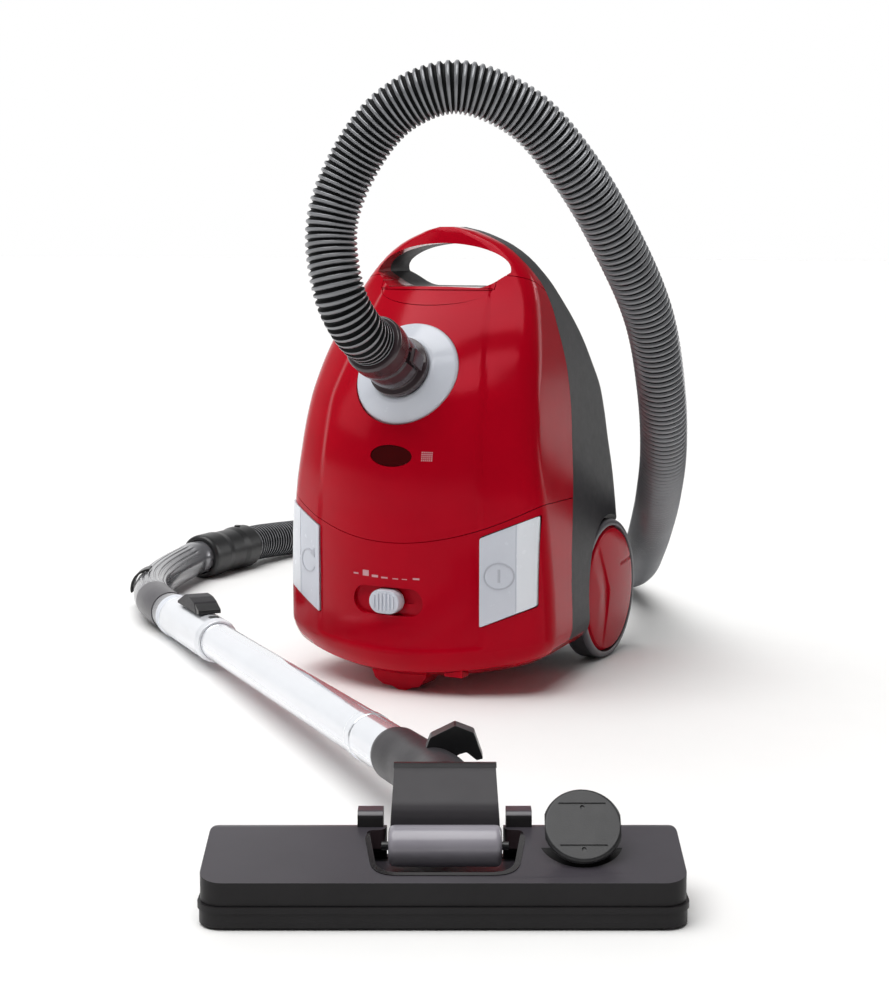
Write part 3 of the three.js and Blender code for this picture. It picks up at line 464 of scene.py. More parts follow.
def tube_along(line, radius_at, segments=40):
    """A capped tube; radius_at(point number, angle) gives its radius."""
    sides, ups = carried(line)
    angles = 2 * np.pi * np.arange(segments) / segments
    rings = []
    for i, centre in enumerate(line):
        r = np.array([radius_at(i, a) for a in angles])[:, None]
        rings.append(centre + r * (np.cos(angles)[:, None] * sides[i] + np.sin(angles)[:, None] * ups[i]))
    return grid(rings)


def add_hose():
    start = to_wand(INLET + INLET_WAY * (CONNECTOR_LENGTH + 0.3))
    lead = to_wand(INLET + INLET_WAY * (CONNECTOR_LENGTH + 26))
    route = [start, lead, *HOSE_ROUTE, CUFF_END + CUFF_WAY * 24, CUFF_END + CUFF_WAY * 0.3]
    line, length = even(smooth_curve(route, 24), 5.0 / 6)
    ridge = (17.3, 18.2, 19.8, 20.0, 19.8, 18.2)
    segments = 36
    hose = tube_along(line, lambda i, a: ridge[i % 6], segments)
    mesh = hose.data
    mesh.materials.append(CREST_PAINTED_HIGHLIGHT)
    mesh.materials.append(GROOVE_PAINTED_SHADE)
    # Groove and flank faces take the near-black painted shade; crest faces take the lighter grey, partly a
    # painted highlight.
    for polygon in mesh.polygons:
        polygon.material_index = 1 if (polygon.index // segments) % 6 in (0, 4, 5) else 0
    mesh.transform(WAND)
    hose.name = mesh.name = "ribbed_hose"
    mesh.shade_smooth()
    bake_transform(hose)
    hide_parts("hose")


add_hose()


# ---- the canister's outer shape

WALL = 3
BOTTOM, TOP = 15, 378.5
LEVELS = np.array([
    (BOTTOM, 104, -19, 198), (21, 118, -31.5, 210), (38, 123, -37, 215), (80, 122, -37.5, 217),
    (120, 119.5, -37.5, 218), (160, 115.5, -36, 218), (200, 109.5, -31, 217), (235, 105.5, -21, 209),
    (265, 101, -5, 187), (290, 95, 12, 168), (327, 82, 41, 133), (342, 73, 50, 122), (360, 55, 59, 109),
    (375, 24, 65, 99), (TOP, 8, 67, 96),
])
RIDGE_Z = (36, 80, 135, 178, 241, 282, 323, 345)
RIDGE_X = (74, 74, 74, 71.5, 69, 59, 50, 46)


def eased(x, low, high):
    t = min(1.0, max(0.0, (x - low) / (high - low)))
    return t * t * (3 - 2 * t)


def steady(xs, ys, x):
    """Monotone cubic interpolation."""
    steps = np.diff(xs)
    rates = np.diff(ys) / steps
    slopes = np.zeros(len(xs))
    slopes[0], slopes[-1] = rates[0], rates[-1]
    for i in range(1, len(xs) - 1):
        if rates[i - 1] * rates[i] > 0:
            slopes[i] = 2 * rates[i - 1] * rates[i] / (rates[i - 1] + rates[i])
    i = int(np.clip(np.searchsorted(xs, x) - 1, 0, len(xs) - 2))
    t = (x - xs[i]) / steps[i]
    return ((1 + 2 * t) * (1 - t) ** 2 * ys[i] + t * (1 - t) ** 2 * steps[i] * slopes[i]
            + t * t * (3 - 2 * t) * ys[i + 1] + t * t * (t - 1) * steps[i] * slopes[i + 1])


def body_ring(z, inset, relief):
    half, front, back = (steady(LEVELS[:, 0], LEVELS[:, k], z) for k in (1, 2, 3))
    w = half - inset
    corner = min(13, w * 0.45)
    f = front + inset
    b = back - inset
    bowed = lambda x: f + 0.0031 * x * x
    side = lambda y: w - 0.09 * (y - bowed(w))
    right = [(x, bowed(x)) for x in np.linspace(0, w - corner, 44)]
    turn = bowed(w) + corner * 1.2
    bend = lambda p, q, r, t: tuple(
        (1 - t) ** 2 * p[k] + 2 * t * (1 - t) * q[k] + t * t * r[k] for k in (0, 1))
    right += [bend(right[-1], (w, bowed(w)), (side(turn), turn), t) for t in np.linspace(0, 1, 13)[1:]]
    back_corner = min(18, (b - turn) * 0.45, w * 0.45)
    end = (side(b - back_corner), b - back_corner)
    right += [(side(y), y) for y in np.linspace(turn, end[1], 14)[1:-1]]
    right += [bend(end, (side(b), b), (side(b) - back_corner, b), t) for t in np.linspace(0, 1, 10)]
    right += [(x, b) for x in np.linspace(side(b) - back_corner, 0, 10)[1:-1]]
    loop = right + [(0, b)] + [(-x, y) for x, y in right[1:][::-1]]
    ring = []
    ridge = np.interp(z, RIDGE_Z, RIDGE_X)
    for x, y in loop:
        rise = 19 * (x / 121) ** 2 * max(0, (100 - z) / 100)
        if relief and y < bowed(w) + 2:
            panel = 1 - eased(abs(x), ridge - 1.2, ridge + 1.6)
            y -= 1.5 * panel * eased(z, 158, 200) * (1 - eased(z, 330, 350))
            y += 1.1 * panel * (1 - eased(z, 150, 165)) * eased(z, 37, 41)
        ring.append((x, y, z + rise))
    return ring


def body_solid(inset, low=BOTTOM, high=TOP, relief=False):
    heights = np.unique(np.concatenate([np.linspace(low, high, 74), np.linspace(35, 43, 6),
                                        np.linspace(364, TOP, 12)]))
    heights = [z for z in heights if low <= z <= high]
    return grid([body_ring(z, inset, relief) for z in heights])


HINGE = (0, -17, 93)
SEAM_X = np.linspace(-130, 130, 45)
SIDE_SEAM = [
    (108, -60), (108, 37), (66, 37), (66, 85), (71, 110), (84, 150), (93, 172), (100, 192), (105, 212),
    (107, 230), (106.5, 245), (105, 260), (102, 275), (99, 290), (97.6, 300), (97, 310), (92, 327),
    (80, 350), (76, 420),
]


def seam_radius(x):
    ahead = min(0.0, -37.5 + 0.0031 * x * x - HINGE[1])
    return math.hypot(ahead, 125 + 33 * (x / 116) ** 2 - HINGE[2])


def below_seam(spare):
    radii = [(seam_radius(x) + spare, x) for x in SEAM_X]
    drum = turned([(0, -130), *radii, (0, 130)], HINGE, (1, 0, 0), 96)
    outline = [(-130, -60), (130, -60), *[(x, HINGE[2] + r) for r, x in radii[::-1]]]
    return union(drum, prism("y", outline, HINGE[1], 300), block(-130, 130, -200, 0, -60, HINGE[2]))


def below_lid_top(spare):
    inner, outer, step = 243.6 + spare, 257 + spare, 53 - spare
    profile = [(0, -130), (outer, -130), (outer, -step), (inner, -step), (inner, step), (outer, step),
               (outer, 130), (0, 130)]
    return turned(profile, HINGE, (1, 0, 0), 168)


def front_of(spare):
    return prism("x", [(-200, 420), (-200, -60), *[(y - spare, z) for y, z in SIDE_SEAM]], -140, 140)


def handle_gap():
    floor = rounded([(-62, 341), (-45, 328.5), (45, 328.5), (62, 341)], 7, 6)[7:21]
    return prism("y", floor + arc((0, 341), 62, 0, 180, 48, squeeze=24 / 62), -20, 220)


def skin(outline, start, end, relief=True):
    """The part of a shell between two depths under its surface, inside an outline."""
    layer = cut(body_solid(start, relief=relief), body_solid(end, relief=relief))
    return within(outline, layer)


def outside():
    return body_solid(0, relief=True)


shell = cut(outside(), body_solid(WALL, 19, 318), handle_gap())
front_shell = within(copy(shell), front_of(0))


# ---- lid and inlet

def latch_outline(spare):
    half, depth = 51 + spare, 12 + 2 * spare
    return prism("y", arc((0, 326.6 + spare), half, 180, 360, 32, squeeze=depth / half), 0, 75)


def window_outline(spare):
    half, tall = 18.5 + spare, 8.3 + spare
    return prism("y", arc((0, 196), half, 0, 354, 59, squeeze=tall / half), -50, 10)


def hinge_arm(x0, x1):
    band = arc(HINGE[1:], 46, 110, 2, 24) + arc(HINGE[1:], 41, 2, 110, 24)
    y, z = HINGE[1:]
    arm = union(prism("x", band, x0, x1), block(x0, x1, y, y + 43, z - 2.5, z + 3.5),
                rod((0, y, z), (1, 0, 0), x0, x1, 6, 32))
    return within(cut(arm, rod((0, y, z), (1, 0, 0), x0 - 1, x1 + 1, 3, 32)), outside())


def add_lid():
    lid = cut(within(copy(front_shell), below_lid_top(0)), below_seam(0.6))
    seat = within(rod(INLET, INLET_WAY, -12.5, 40, 48), outside())
    latch_seat = within(skin(latch_outline(3), 0, 10), below_lid_top(0), front_of(0))
    lid = union(lid, seat, latch_seat, hinge_arm(44, 52), hinge_arm(-52, -44))
    lid = cut(lid, rod(INLET, INLET_WAY, -8.6, 41, 45.4, 96), rod(INLET, INLET_WAY, -20, 0, 30),
              skin(latch_outline(0.5), -3, 6.5), window_outline(0.4))
    mark_faces(lid, 1, on_side)
    piece(lid, "lid_shell", "lid_group", RED, stands_for=["lid"], looks=[RED_SIDE])
    piece(skin(latch_outline(0), 0.8, 2.8), "latch_shell", "latch", RED,
          stands_for=["lid_latch"], edge=0.4)
    piece(skin(window_outline(0), 0.9, 2.8), "window_lens", "lid_group", LENS,
          stands_for=["indicator_window"], edge=0.4)
    hatch = [prism("y", [(x, z), (x + 1.0, z), (x + 1.0, z + 1.0), (x, z + 1.0)], -60, 0)
             for x in np.arange(27, 36, 1.6) for z in np.arange(193, 199.5, 1.6)]
    piece(skin(union(*hatch), -0.05, 0.4), "window_icon", "lid_group", PRINT)


def add_inlet():
    ring = [(23.6, -14), (29.4, -14), (29.4, -8.2), (45, -8.2), (45, 2.0), (43.6, 4.2), (28.6, 12.3),
            (26.2, 12.9), (24.2, 12.4), (23.6, 11)]
    piece(turned(softened(ring, 0.8), INLET, INLET_WAY, 128), "inlet_cone", "lid_group", WHITE,
          stands_for=["inlet_ring"])
    end = CONNECTOR_LENGTH
    tube = [(17, -12), (22.6, -12), (22.6, 13.5), (25.5, 14.5), (25.5, 20), (20.5, 21.5), (20.5, 24),
            (22.6, 26), (22.9, 34), (22.4, 44), (20.5, 46), (24, 48.5), (24.4, 54), (24, end - 2),
            (22.5, end), (17, end)]
    turn = basis(INLET_WAY)
    pockets = [block(*sorted((side * 20.4, side * 30)), -6.8, 6.8, 23.4, 45.8) for side in (-1, 1)]
    for pocket in pockets:
        for v in pocket.data.vertices:
            v.co = INLET + turn @ v.co
    connector = cut(turned(softened(tube, 0.9), INLET, INLET_WAY, 96), *pockets)
    piece(connector, "connector_tube", "lid_group", SMOKE, stands_for=["hose_connector"])
    for name, side, body in (("left", -1, "clip_l"), ("right", 1, "clip_r")):
        clip = prism("y", rounded([(23.2, 24), (25.4, 25), (26.4, 44), (23.2, 45)], 1.0), -6, 6)
        for v in clip.data.vertices:
            v.co = INLET + turn @ Vector((side * v.co.x, v.co.y, v.co.z))
        if side < 0:
            clip.data.flip_normals()
        piece(clip, f"clip_{name}", body, SMOKE, stands_for=[f"connector_clip_{name}"],
              edge=0.5)


# ---- lower housing

def pedal_outline(side, spare):
    x0, x1 = side * (74 - spare), side * (113.5 + spare)
    low, high, rise = 60.5 - spare, 132.5 + spare, 17
    corners = [(x0, low), (x1, low + rise), (x1, high + rise), (x0, high)]
    return prism("y", rounded(corners if side > 0 else corners[::-1], 1.6), -60, 8 + 6 * spare)


def ring_outline(x, z, outer, inner, start=0, end=360):
    if end - start == 360:
        return cut(prism("y", arc((x, z), outer, 0, 350, 35), -60, 30),
                   prism("y", arc((x, z), inner, 0, 350, 35), -70, 40))
    band = arc((x, z), outer, start, end, 24) + arc((x, z), inner, end, start, 24)
    return prism("y", band, -60, 30)


SLIDER_Z = 78


def stadium(x, half, tall, z):
    return arc((x + half - tall, z), tall, -90, 90, 14) + arc((x + tall - half, z), tall, 90, 270, 14)


def add_lower_housing():
    housing = within(copy(front_shell), below_seam(0))
    seat = within(block(-38, 38, -35, -26.5, 62, 92), outside())
    ears = [block(x, x + 4, -25.5, -14, 86, 100) for x in (-57.5, 53.5)]
    housing = union(housing, seat, *ears)
    housing = cut(housing, prism("y", stadium(-2.5, 32, 11.5, SLIDER_Z), -60, -29.5),
                  prism("y", stadium(0, 20, 1.8, SLIDER_Z), -60, -28.2),
                  pedal_outline(1, 0.8), pedal_outline(-1, 0.8), rod(HINGE, (1, 0, 0), -62, 62, 3, 32))
    mark_faces(housing, 1, on_side)
    piece(housing, "housing_shell", "canister", RED, stands_for=["lower_housing"],
          looks=[RED_SIDE])
    for side, name, body in ((1, "power", "pedal_power"), (-1, "rewind", "pedal_rewind")):
        pedal = skin(pedal_outline(side, 0), -1.2, 2.6, relief=False)
        crease = prism("y", [(side * 99.4, 50), (side * 100.2, 50), (side * 100.2, 160),
                             (side * 99.4, 160)][::side], -60, 30)
        pedal = cut(pedal, within(crease, cut(body_solid(-3), body_solid(-0.7))))
        # The strip beyond the crease takes the lighter white: a painted highlight.
        mark_faces(pedal, 1, lambda face: abs(face.center.x) > 100)
        piece(pedal, f"{name}_pedal_cap", body, WHITE, stands_for=[f"{name}_pedal"], edge=0.6,
              looks=[WHITE_PAINTED_HIGHLIGHT])
        mark = ring_outline(88, 102, 11, 10) if side > 0 else ring_outline(-88, 102, 10, 9, 60, 330)
        marks = [skin(mark, -1.65, 0.2, relief=False)]
        if side > 0:
            marks.append(skin(block(87.2, 88.8, -60, 30, 97, 107.5), -1.65, 0.2, relief=False))
        else:
            tip = prism("y", [(-85.5, 108.5), (-80, 113.5), (-79.5, 105.5)], -60, 30)
            marks.append(skin(tip, -1.65, 0.2, relief=False))
        for n, made in enumerate(marks):
            piece(made, f"{name}_mark_{n}", body, EMBOSS, edge=0.25)
    add_slider()


def add_slider():
    outline = arc((1.6, SLIDER_Z), 9.8, -90, 90, 16) + arc((-6.4, SLIDER_Z), 9.8, 90, 270, 16)
    plate = prism("y", outline, -41, -29.8)
    stem = block(-7, 1, -30.5, -19, 75.6, 80.4)
    piece(union(plate, stem), "slider_knob", "slider", WHITE,
          stands_for=["suction_slider"], edge=1.4)
    ribs = []
    for x in np.arange(-11.2, 7, 3.5):
        tall = 7.6 - 0.03 * (x + 2.4) ** 2
        low, high = SLIDER_Z - tall, SLIDER_Z + tall
        rib = [(x - 0.9, low), (x + 0.9, low), (x + 0.9, high), (x - 0.9, high)]
        ribs.append(prism("y", rounded(rib, 0.8), -42.2, -40.5))
    for n, rib in enumerate(ribs):
        piece(rib, f"slider_rib_{n}", "slider", WHITE, edge=0.3)
    sizes = [(-32, 5, 1.2), (-22, 6, 4.8), (-13, 6, 2.0), (-4, 6, 1.2), (6, 5, 0.8), (14, 4.5, 0.6),
             (24, 5.5, 1.4)]
    for n, (x, wide, tall) in enumerate(sizes):
        z = 96.5 + 0.0012 * x * x
        bar = block(x - wide / 2, x + wide / 2, -60, 0, z, z + tall)
        piece(skin(bar, -0.05, 0.4), f"scale_bar_{n}", "canister", PRINT)


def add_bracket():
    foot = [(-31, 30), (-30, 19), (-25, 8), (-17, 3), (-9, 2.5), (-4, 0), (4, 0), (9, 2.5), (16, 4),
            (22, 12), (24, 30)]
    bracket = cut(prism("y", rounded(foot[::-1], 1.6), -14, 13), body_solid(-0.3, 14.7, 120),
                  block(-15, -7, -3, 7, -2, 18), block(7, 15, -3, 7, -2, 18))
    piece(bracket, "bracket_foot", "canister", RED, stands_for=["parking_bracket"], edge=0.6)
    small = cut(block(42, 58, -20, -8, 17, 32), body_solid(-0.3, 14.7, 120))
    piece(small, "small_foot", "canister", RED, edge=0.4)


# ---- chassis and handle

def add_chassis():
    chassis = cut(copy(shell), front_of(-0.3))
    walls, spaces = [], []
    for side in (1, -1):
        centre = (0, WHEEL_Y, WHEEL_Z)
        wall = within(rod(centre, (1, 0, 0), *sorted((side * 78, side * 125)), 69, 96), body_solid(0))
        walls.append(cut(wall, front_of(-0.3)))
        spaces.append(rod(centre, (1, 0, 0), *sorted((side * 81, side * 130)), 66, 96))
        spaces.append(rod(centre, (side, 0, 0), 70, 130, 5.3, 32))
    caster = (0, 0, 216), (0, 1, 0)
    chassis = union(chassis, within(rod(*caster, 190, 221, 23), body_solid(0)), *walls)
    chassis = cut(chassis, *spaces, rod(*caster, 201, 230, 20), rod(*caster, 180, 205, 5.5, 32),
                  block(-34, 34, 122, 176, -5, 30), rod((-58, 148, 0), (0, 0, 1), -5, 30, 8.3, 32))
    grooves = [block(-60, 60, 215.2, 225, z, z + 1.4) for z in range(60, 180, 12)]
    chassis = cut(chassis, *grooves)
    for x in (-78, 78):
        for z in (150, 196):
            chassis = cut(chassis, rod((x, 0, z), (0, 1, 0), 214.5, 230, 4, 32))
    piece(chassis, "chassis_shell", "canister", GREY, stands_for=["chassis"])
    cover = cut(copy(front_shell), below_lid_top(0.6), below_seam(1))
    mark_faces(cover, 1, on_side)
    piece(cover, "handle_shell", "canister", RED, stands_for=["handle_cover"], looks=[RED_SIDE])


# ---- wheels

def add_wheels():
    tyre = [(5.4, 84), (60, 84), (61.8, 86), (61.8, 103.5), (60, 106), (56, 106), (56, 100), (12, 98),
            (5.4, 98)]
    for name, side, body in (("right", 1, "wheel_r"), ("left", -1, "wheel_l")):
        centre, way = (0, WHEEL_Y, WHEEL_Z), (side, 0, 0)
        piece(turned(softened(tyre, 1.6), centre, way, 144), f"tyre_{name}", body, RIM,
              stands_for=[f"wheel_{name}"])
        band = turned(softened([(60.9, 87.5), (61.95, 87.8), (61.95, 101.6), (60.9, 101.9)], 0.4),
                      centre, way, 144)
        piece(band, f"tread_{name}", body, TYRE)
        piece(hub_cap(side), f"hub_{name}", body, RED_SIDE, stands_for=[f"hub_cap_{name}"])


def hub_cap(side):
    """A domed cap with a sharp step along a V, and a short groove beside it."""
    rings, spokes, radius, base = 44, 176, 55.5, 100.5
    knot, ends = np.array((-8.5, 0.0)), (np.array((-30.0, 46.0)), np.array((-17.0, -53.0)))
    vertices = []
    for k in range(rings + 1):
        r = radius * (k / rings)
        for n in range(spokes):
            angle = 2 * math.pi * n / spokes
            p = np.array((r * math.cos(angle), r * math.sin(angle)))
            height = 109.6 - 3.4 * (r / radius) ** 2 - 3.4 * eased(r, 52.5, radius)
            end = ends[0] if p[1] > 0 else ends[1]
            crease = knot[0] + (end[0] - knot[0]) * min(1.0, p[1] / end[1])
            ahead = crease - p[0]
            depth = 2.0 * eased(ahead, -0.4, 1.6) * (1 - eased(ahead, 1.6, 22))
            height -= depth * (1 - abs(p[1]) / 60) * (1 - eased(r, 47, 54))
            height -= 0.8 * (1 - eased(abs(p[1] - 19 - 0.05 * p[0]), 0.4, 1.6)) * eased(p[0], 16, 20)
            vertices.append((side * height, WHEEL_Y + p[0], WHEEL_Z + p[1]))
    top = (rings + 1) * spokes
    vertices += [(side * base, WHEEL_Y + radius * math.cos(2 * math.pi * n / spokes),
                  WHEEL_Z + radius * math.sin(2 * math.pi * n / spokes)) for n in range(spokes)]
    faces = []
    for k in range(rings + 1):
        for n in range(spokes):
            m = (n + 1) % spokes
            faces.append((k * spokes + n, k * spokes + m, (k + 1) * spokes + m, (k + 1) * spokes + n))
    vertices.append((side * base, WHEEL_Y, WHEEL_Z))
    faces += [(top + n, top + (n + 1) % spokes, len(vertices) - 1) for n in range(spokes)]
    return raw(vertices, faces)


def add_caster():
    roller = [(2.4, -7), (11.5, -7), (13.5, -5), (13.5, 5), (11.5, 7), (2.4, 7)]
    piece(turned(softened(roller, 1.0), (0, 226, 209), (1, 0, 0), 64), "caster_tyre", "caster_roll", TYRE,
          stands_for=["caster_wheel"])


# ---- wand

GRIP_END = Vector((-222.7, 199.1, 20))
ELBOW_MOUTH = Vector((-6, -348, 42))
POLE = (ELBOW_MOUTH - GRIP_END).normalized()
POLE_LENGTH = (ELBOW_MOUTH - GRIP_END).length
GRIP_ROUTE = [(-251, 470, 22.5), (-260, 425, 21.5), (-265, 380, 21), (-265, 335, 21), (-259, 290, 21),
              (-246, 250, 21)]


def add_grip():
    length = (CUFF_END - CUFF_START).length
    cuff = [(18.4, 24), (18.4, 0), (21.6, 0), (23.6, 2.2), (24, 6), (24, 28), (22.7, 37), (22.7, 60),
            (24, 68), (24, length - 3), (22.6, length), (15, length), (15, 24)]
    piece(turned(softened(cuff, 1.2), CUFF_START, CUFF_WAY, 96), "hose_cuff", "canister", CUFF,
          place=WAND, stands_for=["cuff"])
    button = turned(softened([(0, 22), (3.4, 22), (3.4, 25.2), (0, 25.6)], 0.6),
                    CUFF_START + CUFF_WAY * 76, (0, 0, 1), 32)
    piece(button, "cuff_button", "canister", BLACK, place=WAND)
    route = [CUFF_START + CUFF_WAY * 20, CUFF_START, CUFF_START - CUFF_WAY * 14, *GRIP_ROUTE,
             GRIP_END - POLE * 12, GRIP_END]
    line, _ = even(smooth_curve(route, 16), 2.0)
    count = len(line)

    def radius(i, angle):
        along = i / (count - 1)
        ribbed = eased(along, 0.12, 0.18) * (1 - eased(along, 0.74, 0.77))
        off = math.degrees(angle) - 100
        if abs(off) > 52:
            return 17.9
        groove = 0.5 + 0.5 * math.cos(math.radians(off * 360 / 17.3))
        return 17.9 + ribbed * (0.5 - 1.1 * eased(groove, 0.55, 0.95)) * (1 - eased(abs(off), 46, 52))

    piece(tube_along(line, radius, 240), "grip_tube", "wand", GRIP, place=WAND,
          stands_for=["grip"], sharp=50)
    lower = line[int(count * 0.77):int(count * 0.94)]
    piece(tube_along(lower, lambda i, a: 18.5, 96), "grip_band", "wand", CHARCOAL, place=WAND)
    band = arc((0, 0), 21.1, 95, 190, 20) + arc((0, 0), 18.9, 190, 95, 20)
    valve = prism("y", [(x - 265.5, z + 21) for x, z in band], 325, 345)
    piece(valve, "valve_saddle", "valve", BLACK, place=WAND, stands_for=["air_valve"], edge=0.5)


def add_tubes():
    collar = [(14.8, 0.3), (19.2, 0.3), (19.8, 1.2), (19.8, 12), (19.2, 13), (14.8, 13)]
    piece(turned(softened(collar, 0.5), GRIP_END, POLE, 96), "white_collar", "wand", WHITE, place=WAND,
          stands_for=["grip_collar"])
    # A black ring in the gap between the collar and the chrome tube: painted shade in the gap.
    piece(pipe(GRIP_END, POLE, 13.0, 14.2, 18.6, 16.4, 96), "collar_gap_painted_shade", "wand", BLACK, place=WAND)
    sleeve = [(16.4, 14.2), (19.8, 14.2), (19.8, 17), (19.4, 17.6), (19.4, 148), (18.2, 155), (18.2, 157),
              (16.4, 158)]
    piece(turned(softened(sleeve, 0.4), GRIP_END, POLE, 96), "silver_sleeve", "wand", SILVER, place=WAND,
          stands_for=["tube_sleeve"])
    end = POLE_LENGTH - 36
    outer = [(14.8, 13.4), (16.2, 13.4), (16.2, end - 12), (16.8, end - 10), (16.8, end - 1), (16.2, end),
             (14.8, end)]
    piece(turned(softened(outer, 0.4), GRIP_END, POLE, 96), "chrome_outer", "wand", CHROME, place=WAND,
          stands_for=["outer_tube"])
    piece(pipe(GRIP_END, POLE, 130, POLE_LENGTH + 30, 14, 12.6, 96), "chrome_inner", "wand_lower", CHROME,
          place=WAND, stands_for=["inner_tube"])
    cap = [(14.4, end + 0.5), (16.2, end + 0.5), (16.2, POLE_LENGTH + 12), (14.4, POLE_LENGTH + 12)]
    piece(turned(softened(cap, 0.2), GRIP_END, POLE, 96), "chrome_end", "wand_lower", CHROME, place=WAND)
    add_release()


def add_release():
    side = POLE.cross(Vector((0, 0, 1))).normalized()
    up = side.cross(POLE)
    turn = Matrix((POLE, side, up)).transposed().to_4x4()
    there = Matrix.Translation(GRIP_END) @ turn

    def on_pole(solid):
        solid.data.transform(there)
        return solid

    outline = [(52, 20), (119, 20), (120, 21), (114, 28.5), (100, 31.5), (82, 32), (64, 26), (53, 22.5)]
    thumb = on_pole(prism("y", rounded(outline, 2.0), -10.5, 10.5))
    piece(thumb, "release_thumb", "release", GREY, place=WAND,
          stands_for=["release_slider"], edge=1.2)
    nose = [(119.4, 20), (128, 20), (128, 23.5), (124, 25), (116, 28)]
    lip = on_pole(prism("y", rounded(nose, 1.0), -10, 10))
    piece(lip, "release_lip", "release", BLACK, place=WAND, edge=0.6)
    opening = [(137, -4.2), (146, -4.2), (146, 4.2), (137, 4.2)]
    slot = on_pole(prism("z", rounded(opening, 2.4), 18.4, 19.75))
    piece(slot, "sleeve_slot", "wand", BLACK, place=WAND)


# ---- elbow and neck

NECK_U, NECK_PIN_V, NECK_PIN_Z = 29, -513, 33
NECK_PIN = (NECK_U, NECK_PIN_V, NECK_PIN_Z)


def add_elbow():
    route = [ELBOW_MOUTH + POLE * 9, ELBOW_MOUTH + POLE * 24, ELBOW_MOUTH + POLE * 42, (17, -412, 45.5),
             (24, -432, 47.5), (28, -452, 50), (NECK_U, -468, 50.5)]
    line, _ = even(smooth_curve(route, 16), 1.5)
    centre = tube_along(line, lambda i, a: 17.9 - 0.9 * eased(3 - i, 0, 3), 96)
    bore, _ = even([ELBOW_MOUTH - POLE * 5, ELBOW_MOUTH + POLE * 32], 4)
    elbow = cut(centre, tube_along(bore, lambda i, a: 14.5, 96))
    piece(elbow, "elbow_tube", "wand_lower", NECK, place=WAND, stands_for=["elbow"])
    hook = [(16, 60), (30, 52), (37, 60), (42, 61.5), (48, 56.5), (52, 57.5), (46.5, 73.5), (35, 78),
            (20, 70.5)]
    piece(prism("y", rounded(hook, 1.0), -424, -411), "hook_plate", "wand_lower", BLACK, place=WAND,
          stands_for=["parking_hook"], edge=0.5)
    side = [(-504.5, 36), (-504, 49), (-501, 54), (-483, 67.5), (-478, 70), (-472, 69), (-474, 58),
            (-488, 36)]
    plate = prism("x", rounded(side, 2.2, 6), NECK_U - 29, NECK_U + 29)
    for v in plate.data.vertices:
        v.co.x = NECK_U + (v.co.x - NECK_U) * (1 + 0.0022 * max(0, 68 - v.co.z))
    lip = prism("x", rounded([(-481.5, 68.4), (-477, 70.2), (-473, 69.8), (-474, 68.2), (-478, 69.0)], 0.4),
                NECK_U - 29.4, NECK_U + 29.4)
    pin = turned(softened([(0, -35.5), (2.4, -35.5), (2.4, 35.5), (0, 35.5)], 0.5), NECK_PIN, (1, 0, 0))
    piece(pin, "hinge_pin", "neck_group", BLACK, place=WAND, stands_for=["neck_pin"])
    tongue = [(2.6, -31.5), (11.5, -31.5), (11.5, 31.5), (2.6, 31.5)]
    barrel = turned(softened(tongue, 7.5, 10), NECK_PIN, (1, 0, 0), 96)
    web = block(NECK_U - 28, NECK_U + 28, -511, -490, 31, 38)
    socket = rod((NECK_U, 0, 50.5), (0, 1, 0), -479, -470.4, 18.6, 96)
    neck = cut(union(plate, web, socket), rod((NECK_U, 0, 50.5), (0, 1, 0), -476, -460, 14.5, 96),
               rod((0, NECK_PIN_V, NECK_PIN_Z), (1, 0, 0), -30, 90, 11.7, 96))
    piece(neck, "neck_plate", "neck_group", NECK, place=WAND, stands_for=["neck"],
          edge=0.6)
    piece(lip, "neck_lip", "neck_group", BLACK, place=WAND)
    piece(barrel, "neck_barrel", "neck_group", TONGUE, place=WAND)


# ---- nozzle

NOZZLE_U, NOZZLE_HALF, FRONT, BACK = 28, 133, -557, -485
WELL_V = -522
PEDAL_CENTRE = Vector((104.5, -525, 48))
PEDAL_NORMAL = Vector((0, -0.73, 0.68)).normalized()


def nozzle_plan(inset, radius):
    x0, x1 = NOZZLE_U - NOZZLE_HALF + inset, NOZZLE_U + NOZZLE_HALF - inset
    y0, y1 = FRONT + inset, BACK - inset
    left, right, low, high = x0 + radius, x1 - radius, y0 + radius, y1 - radius
    return [p for k, centre in enumerate(((right, low), (right, high), (left, high), (left, low)))
            for p in arc(centre, radius, 90 * k - 90, 90 * k, 12)]


def cover_side(drop):
    line = [(FRONT - 5, 9 - drop), (BACK + 5, 9 - drop), (BACK + 5, 30 - drop), (BACK - 5, 38.8 - drop),
            (FRONT + 2, 26.5 - drop), (FRONT - 5, 25.2 - drop)]
    return prism("x", rounded(line, 5, 8), NOZZLE_U - 200, NOZZLE_U + 200)


def strip_room(spare, top=22):
    return [block(NOZZLE_U - h - spare, NOZZLE_U + h + spare, v - 3 - spare, v + 3 + spare, 0, top + spare)
            for h, v in ((115.5, -541.5), (91.5, -496))]


